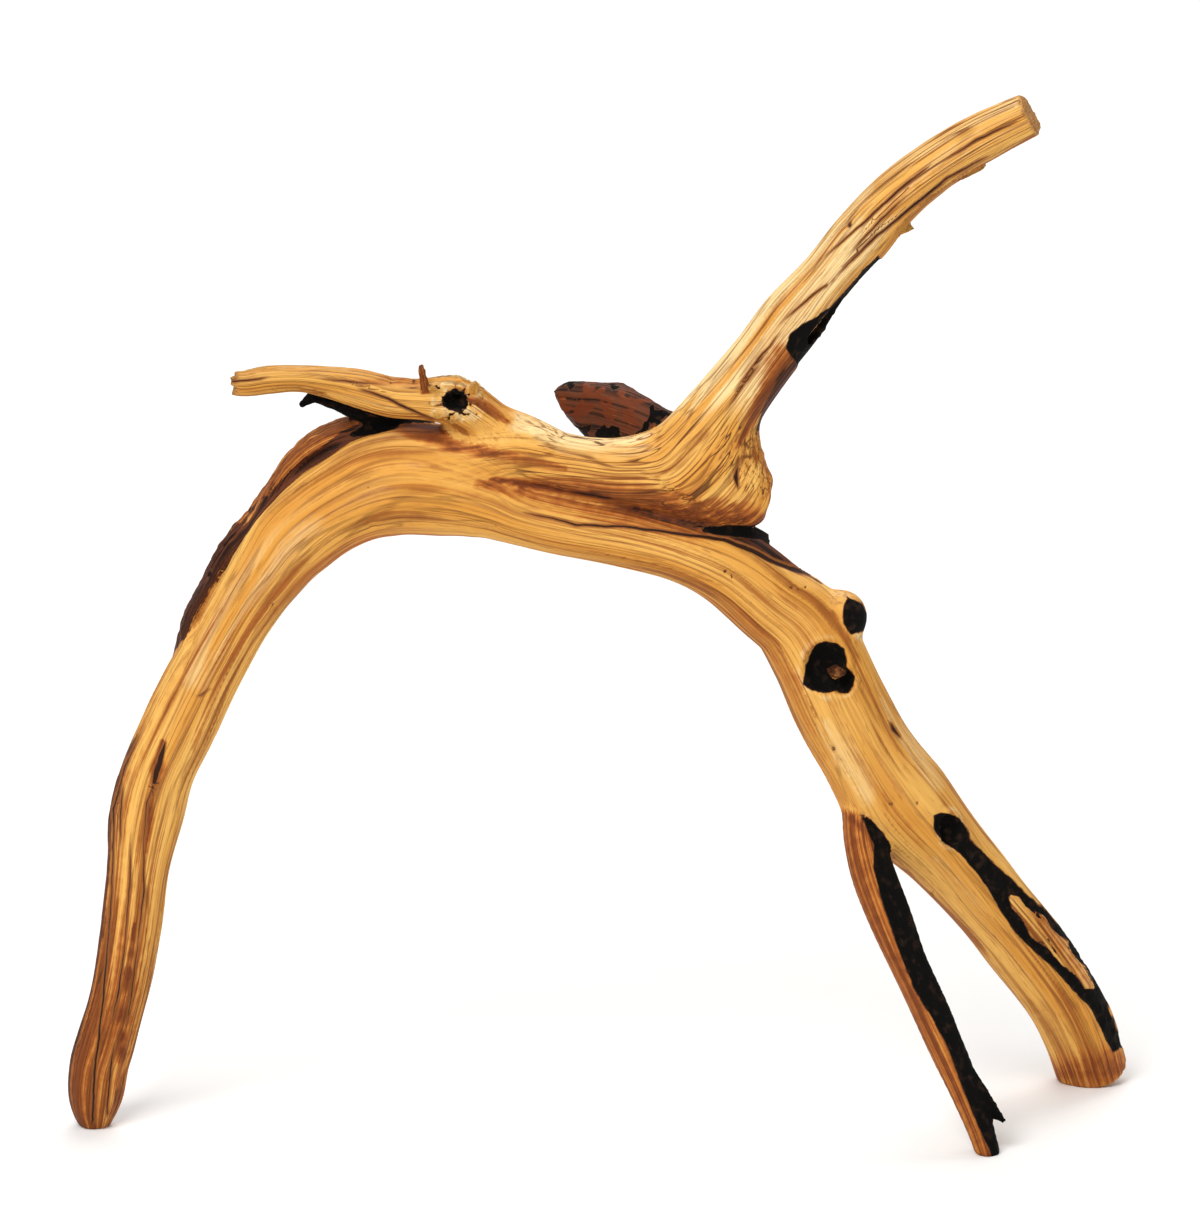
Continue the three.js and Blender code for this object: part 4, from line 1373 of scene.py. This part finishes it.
class WoodNodes:
    """What the layers share: the fields on the mesh, the mixed fibre patterns and the fraying waves."""

    def __init__(self, tree):
        self.tree = tree
        self.char, self.bark, self.rust_and_shade = self.field("stains_and_shade")
        self.tone, self.cut_end, grain_share = self.field("marks")
        self.crack_side, self.crack_wide, self.lines = self.field("cracks")
        groups = [self.fibre_group(name) for name in ("first_grain", "second_grain")]
        self.fibre = {
            socket.name: mix_value(tree, grain_share, socket, groups[1].outputs[socket.name])
            for socket in groups[0].outputs
        }
        where = add(tree, "ShaderNodeTexCoord").outputs["Object"]
        mottle = add(tree, "ShaderNodeTexNoise", {"Vector": where, "Scale": MOTTLE_SCALE, "Detail": 4.0})
        self.mottle = mottle.outputs["Fac"]
        waves = (self.fibre["Streaks"], self.fibre["Hairlines"], self.mottle)
        self.waves = [maths(tree, "SUBTRACT", wave, 0.5) for wave in waves]

    def attribute(self, name):
        return add(self.tree, "ShaderNodeAttribute", attribute_name=name).outputs["Vector"]

    def field(self, name):
        return add(self.tree, "ShaderNodeSeparateXYZ", {0: self.attribute(name)}).outputs

    def fibre_group(self, name):
        return add(self.tree, "ShaderNodeGroup", {"Grain": self.attribute(name)}, node_tree=fibres)

    def frayed(self, value, grain_share, mottle_share):
        """A field with its edges frayed along the fibres and by the mottle."""
        for wave, share in zip(self.waves, (grain_share, 0.5 * grain_share, mottle_share)):
            value = scaled_onto(self.tree, wave, share, value)
        return value

    def lined(self, pattern):
        """A pattern, shown as strongly as grain lines show here."""
        return maths(self.tree, "MULTIPLY", pattern, self.lines)

    def step(self, value, low, high):
        return soft_step(self.tree, value, low, high)

    def mix(self, share, first, second):
        return mix_colour(self.tree, share, first, second)


print("fields for the layers:", "stains, marks, cracks, first_grain, second_grain")

# %% [markdown]
# ## The layers of colour
# Five short functions lay the colours one over the other: stained wood with painted highlight and shade, the
# lines of the grain, bark and painted shade with the cut ends, cracks, and char with painted shadow. The
# shares of the lines are kept, because the bump sinks the same lines.
# A painted image could hold the result, but it would be tied to one resolution.

# %% Layers of the wood


def wood_with_stains_and_painted_light(wood):
    """Honey wood with its pale places and painted highlight, its darker places and painted shade, and its
    rust and painted shade.
    """
    colour = wood.mix(wood.step(wood.fibre["Bands"], 0.34, 0.66), HONEY, AMBER)
    colour = wood.mix(wood.step(wood.frayed(wood.tone, 1.2, 0.3), 0.05, 1.0), colour, PALE_AND_LIT)
    colour = wood.mix(wood.step(wood.frayed(wood.tone, -1.2, 0.3), -0.15, -0.95), colour, DARKER_AND_SHADED)
    rust_and_shade_near = wood.frayed(wood.rust_and_shade, 1.6, 0.5)
    colour = wood.mix(wood.step(rust_and_shade_near, 0.1, 0.75), colour, RUST_AND_SHADE)
    return wood.mix(wood.step(rust_and_shade_near, 0.5, 1.1), colour, DARK_RUST_AND_SHADE)


def grain_lines(wood, colour, ring_share, check_share):
    """Streaks, hairlines, flecks, rings and checks over the wood."""
    streak_share = wood.lined(wood.step(wood.fibre["Streaks"], 0.55, 0.78))
    colour = wood.mix(streak_share, colour, STREAK)
    hair_share = wood.lined(wood.step(wood.fibre["Hairlines"], 0.52, 0.7))
    colour = wood.mix(hair_share, colour, HAIRLINE)
    colour = wood.mix(maths(wood.tree, "MULTIPLY", wood.fibre["Flecks"], FLECK_SHARE), colour, FLECK)
    colour = wood.mix(ring_share, colour, RING)
    return wood.mix(check_share, colour, CHECK)


# Bark, with painted shade along the crease, and the cut ends.
def bark_and_ends(wood, colour):
    bark_colour = wood.mix(wood.step(wood.fibre["Streaks"], 0.4, 0.62), BARK_AND_SHADE, DARK_BARK_AND_SHADE)
    colour = wood.mix(wood.step(wood.frayed(wood.bark, 0.9, 0.6), 0.35, 0.62), colour, bark_colour)
    end_colour = wood.mix(wood.step(wood.fibre["Ends"], 0.2, 0.7), END, END_RING)
    return wood.mix(wood.cut_end, colour, end_colour)


def crack_lines(wood, colour):
    """A brown halo and a dark line wherever the distance to a crack is under its half width."""
    unsteady_side = scaled_onto(wood.tree, wood.waves[2], CRACK_WOBBLE, wood.crack_side)
    beside = maths(wood.tree, "SUBTRACT", wood.crack_wide, maths(wood.tree, "ABSOLUTE", unsteady_side))
    opened = wood.step(wood.crack_wide, 0.03, 0.12)
    halo_share = maths(wood.tree, "MULTIPLY", wood.step(beside, -0.7, 0.0), opened)
    colour = wood.mix(halo_share, colour, CRACK_EDGE)
    crack_share = maths(wood.tree, "MULTIPLY", wood.step(beside, -0.06, 0.18), opened)
    return wood.mix(crack_share, colour, CRACK), crack_share


# Char, and painted shadow in black under the stub, under the bark flap and along the crease.
def charred_and_shadowed(wood, colour):
    char_and_shadow_near = wood.frayed(wood.char, 0.15, 0.3)
    colour = wood.mix(wood.step(char_and_shadow_near, 0.36, 0.48), colour, CHAR_AND_SHADOW_EDGE)
    char_and_shadow_share = wood.step(char_and_shadow_near, 0.46, 0.54)
    char_and_shadow_colour = wood.mix(wood.step(wood.mottle, 0.5, 0.75), CHAR_AND_SHADOW, BROWN_CHAR_AND_SHADOW)
    return wood.mix(char_and_shadow_share, colour, char_and_shadow_colour), char_and_shadow_share


print("layers:", "stained wood, grain lines, bark and ends, cracks, char")

# %% The wood itself


def surface_rise(wood, ring_share, check_share, crack_share):
    """Fine relief: streaks, hairlines, rings, checks and cracks all sink."""
    tree = wood.tree
    sunk_streaks = maths(tree, "MULTIPLY", wood.fibre["Streaks"], -0.6)
    rise = maths(tree, "ADD", sunk_streaks, maths(tree, "MULTIPLY", wood.fibre["Hairlines"], -0.6))
    slits = maths(tree, "MULTIPLY", maths(tree, "MAXIMUM", crack_share, check_share), 0.5)
    rise = maths(tree, "SUBTRACT", rise, slits)
    return maths(tree, "SUBTRACT", rise, maths(tree, "MULTIPLY", ring_share, 0.35))


def make_wood():
    material = bpy.data.materials.new("peeled_root_wood")
    material.use_nodes = True
    tree = material.node_tree
    shader = tree.nodes["Principled BSDF"]
    wood = WoodNodes(tree)
    ring_share = wood.lined(wood.fibre["Rings"])
    check_share = wood.lined(wood.fibre["Checks"])
    colour = grain_lines(wood, wood_with_stains_and_painted_light(wood), ring_share, check_share)
    colour, crack_share = crack_lines(wood, bark_and_ends(wood, colour))
    colour, char_and_shadow_share = charred_and_shadowed(wood, colour)
    tree.links.new(colour, shader.inputs["Base Color"])
    tree.links.new(mix_value(tree, char_and_shadow_share, WOOD_ROUGHNESS, CHAR_ROUGHNESS), shader.inputs["Roughness"])
    shader.inputs["Specular IOR Level"].default_value = WOOD_SHINE
    rise = surface_rise(wood, ring_share, check_share, crack_share)
    bump_values = {"Height": rise, "Strength": BUMP_STRENGTH, "Distance": BUMP_DISTANCE}
    bump = add(tree, "ShaderNodeBump", bump_values)
    tree.links.new(bump.outputs["Normal"], shader.inputs["Normal"])
    return material


root_wood = make_wood()
print("nodes in the wood:", len(root_wood.node_tree.nodes))

# %% [markdown]
# ## The finished piece
# The carved root takes the place of the one CAD node and rides on the part's only body. Smooth shading
# hides the facets; the carving and the bump carry the detail.

# %% Put the wood on the root
root.data.materials.clear()
root.data.materials.append(root_wood)
bpy.ops.object.select_all(action="DESELECT")
root.select_set(True)
bpy.context.view_layer.objects.active = root
bpy.ops.object.shade_smooth()
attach(root, "root")
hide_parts("spiderwood_root")
triangle_count = sum(len(face.vertices) - 2 for face in root.data.polygons)
print("triangles:", triangle_count)

# %% [markdown]
# ## Floor
# The root stands on a pale floor that is wide enough to fill the picture, so nothing else shows behind it.
# A backdrop curve would do as well, but a plain plane keeps the shadows under the feet simple.

# %% Floor
FLOOR_SIZE = 8.0
bpy.ops.object.select_all(action="DESELECT")
bpy.ops.mesh.primitive_plane_add(size=FLOOR_SIZE, location=(0, 0, 0))
floor = bpy.context.active_object
floor.name = "pale_floor"
paint = bpy.data.materials.new("pale_floor")
paint.use_nodes = True
paint.node_tree.nodes["Principled BSDF"].inputs["Base Color"].default_value = linear(244, 243, 241)
paint.node_tree.nodes["Principled BSDF"].inputs["Roughness"].default_value = 0.9
floor.data.materials.append(paint)
print("floor is", floor.dimensions.x, "m wide")

# %% [markdown]
# ## Lights
# Large soft lights show the colour of the wood without hard shadows: a key from the upper left, a weak
# fill from the right, and a light behind that keeps the floor white. A white world fills the rest.

# %% Lights
ROOT_MIDDLE = (0, 0, 0.13)
FLOOR_BEHIND = (0, 0.5, 0)
WORLD_STRENGTH = 0.42

# Each light's place, what it is aimed at, its size in metres and its power in watts.
LIGHTS = {
    "key": ((-0.5, -0.9, 1.2), ROOT_MIDDLE, 0.8, 18),
    "fill": ((1.0, -0.9, 0.6), ROOT_MIDDLE, 1.2, 3),
    "back": ((0.2, 1.3, 1.6), FLOOR_BEHIND, 1.6, 24),
}


def aim(thing, aimed_at):
    way = np.array(aimed_at) - np.array(thing.location)
    pitch = math.atan2(math.hypot(way[0], way[1]), -way[2])
    thing.rotation_euler = (pitch, 0, math.atan2(way[1], way[0]) - math.pi / 2)


for name, (location, aimed_at, size, power) in LIGHTS.items():
    bpy.ops.object.light_add(type="AREA", location=location)
    lamp = bpy.context.active_object
    lamp.name = name
    lamp.data.size = size
    lamp.data.energy = power
    aim(lamp, aimed_at)
world = bpy.data.worlds.new("studio")
bpy.context.scene.world = world
world.use_nodes = True
world.node_tree.nodes["Background"].inputs["Color"].default_value = (1, 1, 1, 1)
world.node_tree.nodes["Background"].inputs["Strength"].default_value = WORLD_STRENGTH
bpy.context.scene.view_settings.view_transform = "Standard"

# %% [markdown]
# ## Camera
# The camera looks down by the picture plane's lean, from far off with a long lens, so the limbs keep their
# drawn places. A near camera would make the prop leg, which stands forward, look too large.

# %% Camera
LENS = 600
SENSOR = 36
FRAME_HEIGHT = 0.30
CAMERA_TARGET = (0.0, 0.0, 0.131)
FARTHEST_SEEN = 50
distance = FRAME_HEIGHT * LENS / SENSOR
bpy.ops.object.camera_add()
camera = bpy.context.active_object
camera.name = "photo_camera"
camera.location = (
    CAMERA_TARGET[0],
    CAMERA_TARGET[1] - distance * math.cos(PICTURE_LEAN),
    CAMERA_TARGET[2] + distance * math.sin(PICTURE_LEAN),
)
camera.data.lens = LENS
camera.data.sensor_width = SENSOR
camera.data.clip_end = FARTHEST_SEEN
aim(camera, CAMERA_TARGET)
bpy.context.scene.camera = camera
print(f"camera {distance:.2f} m away")
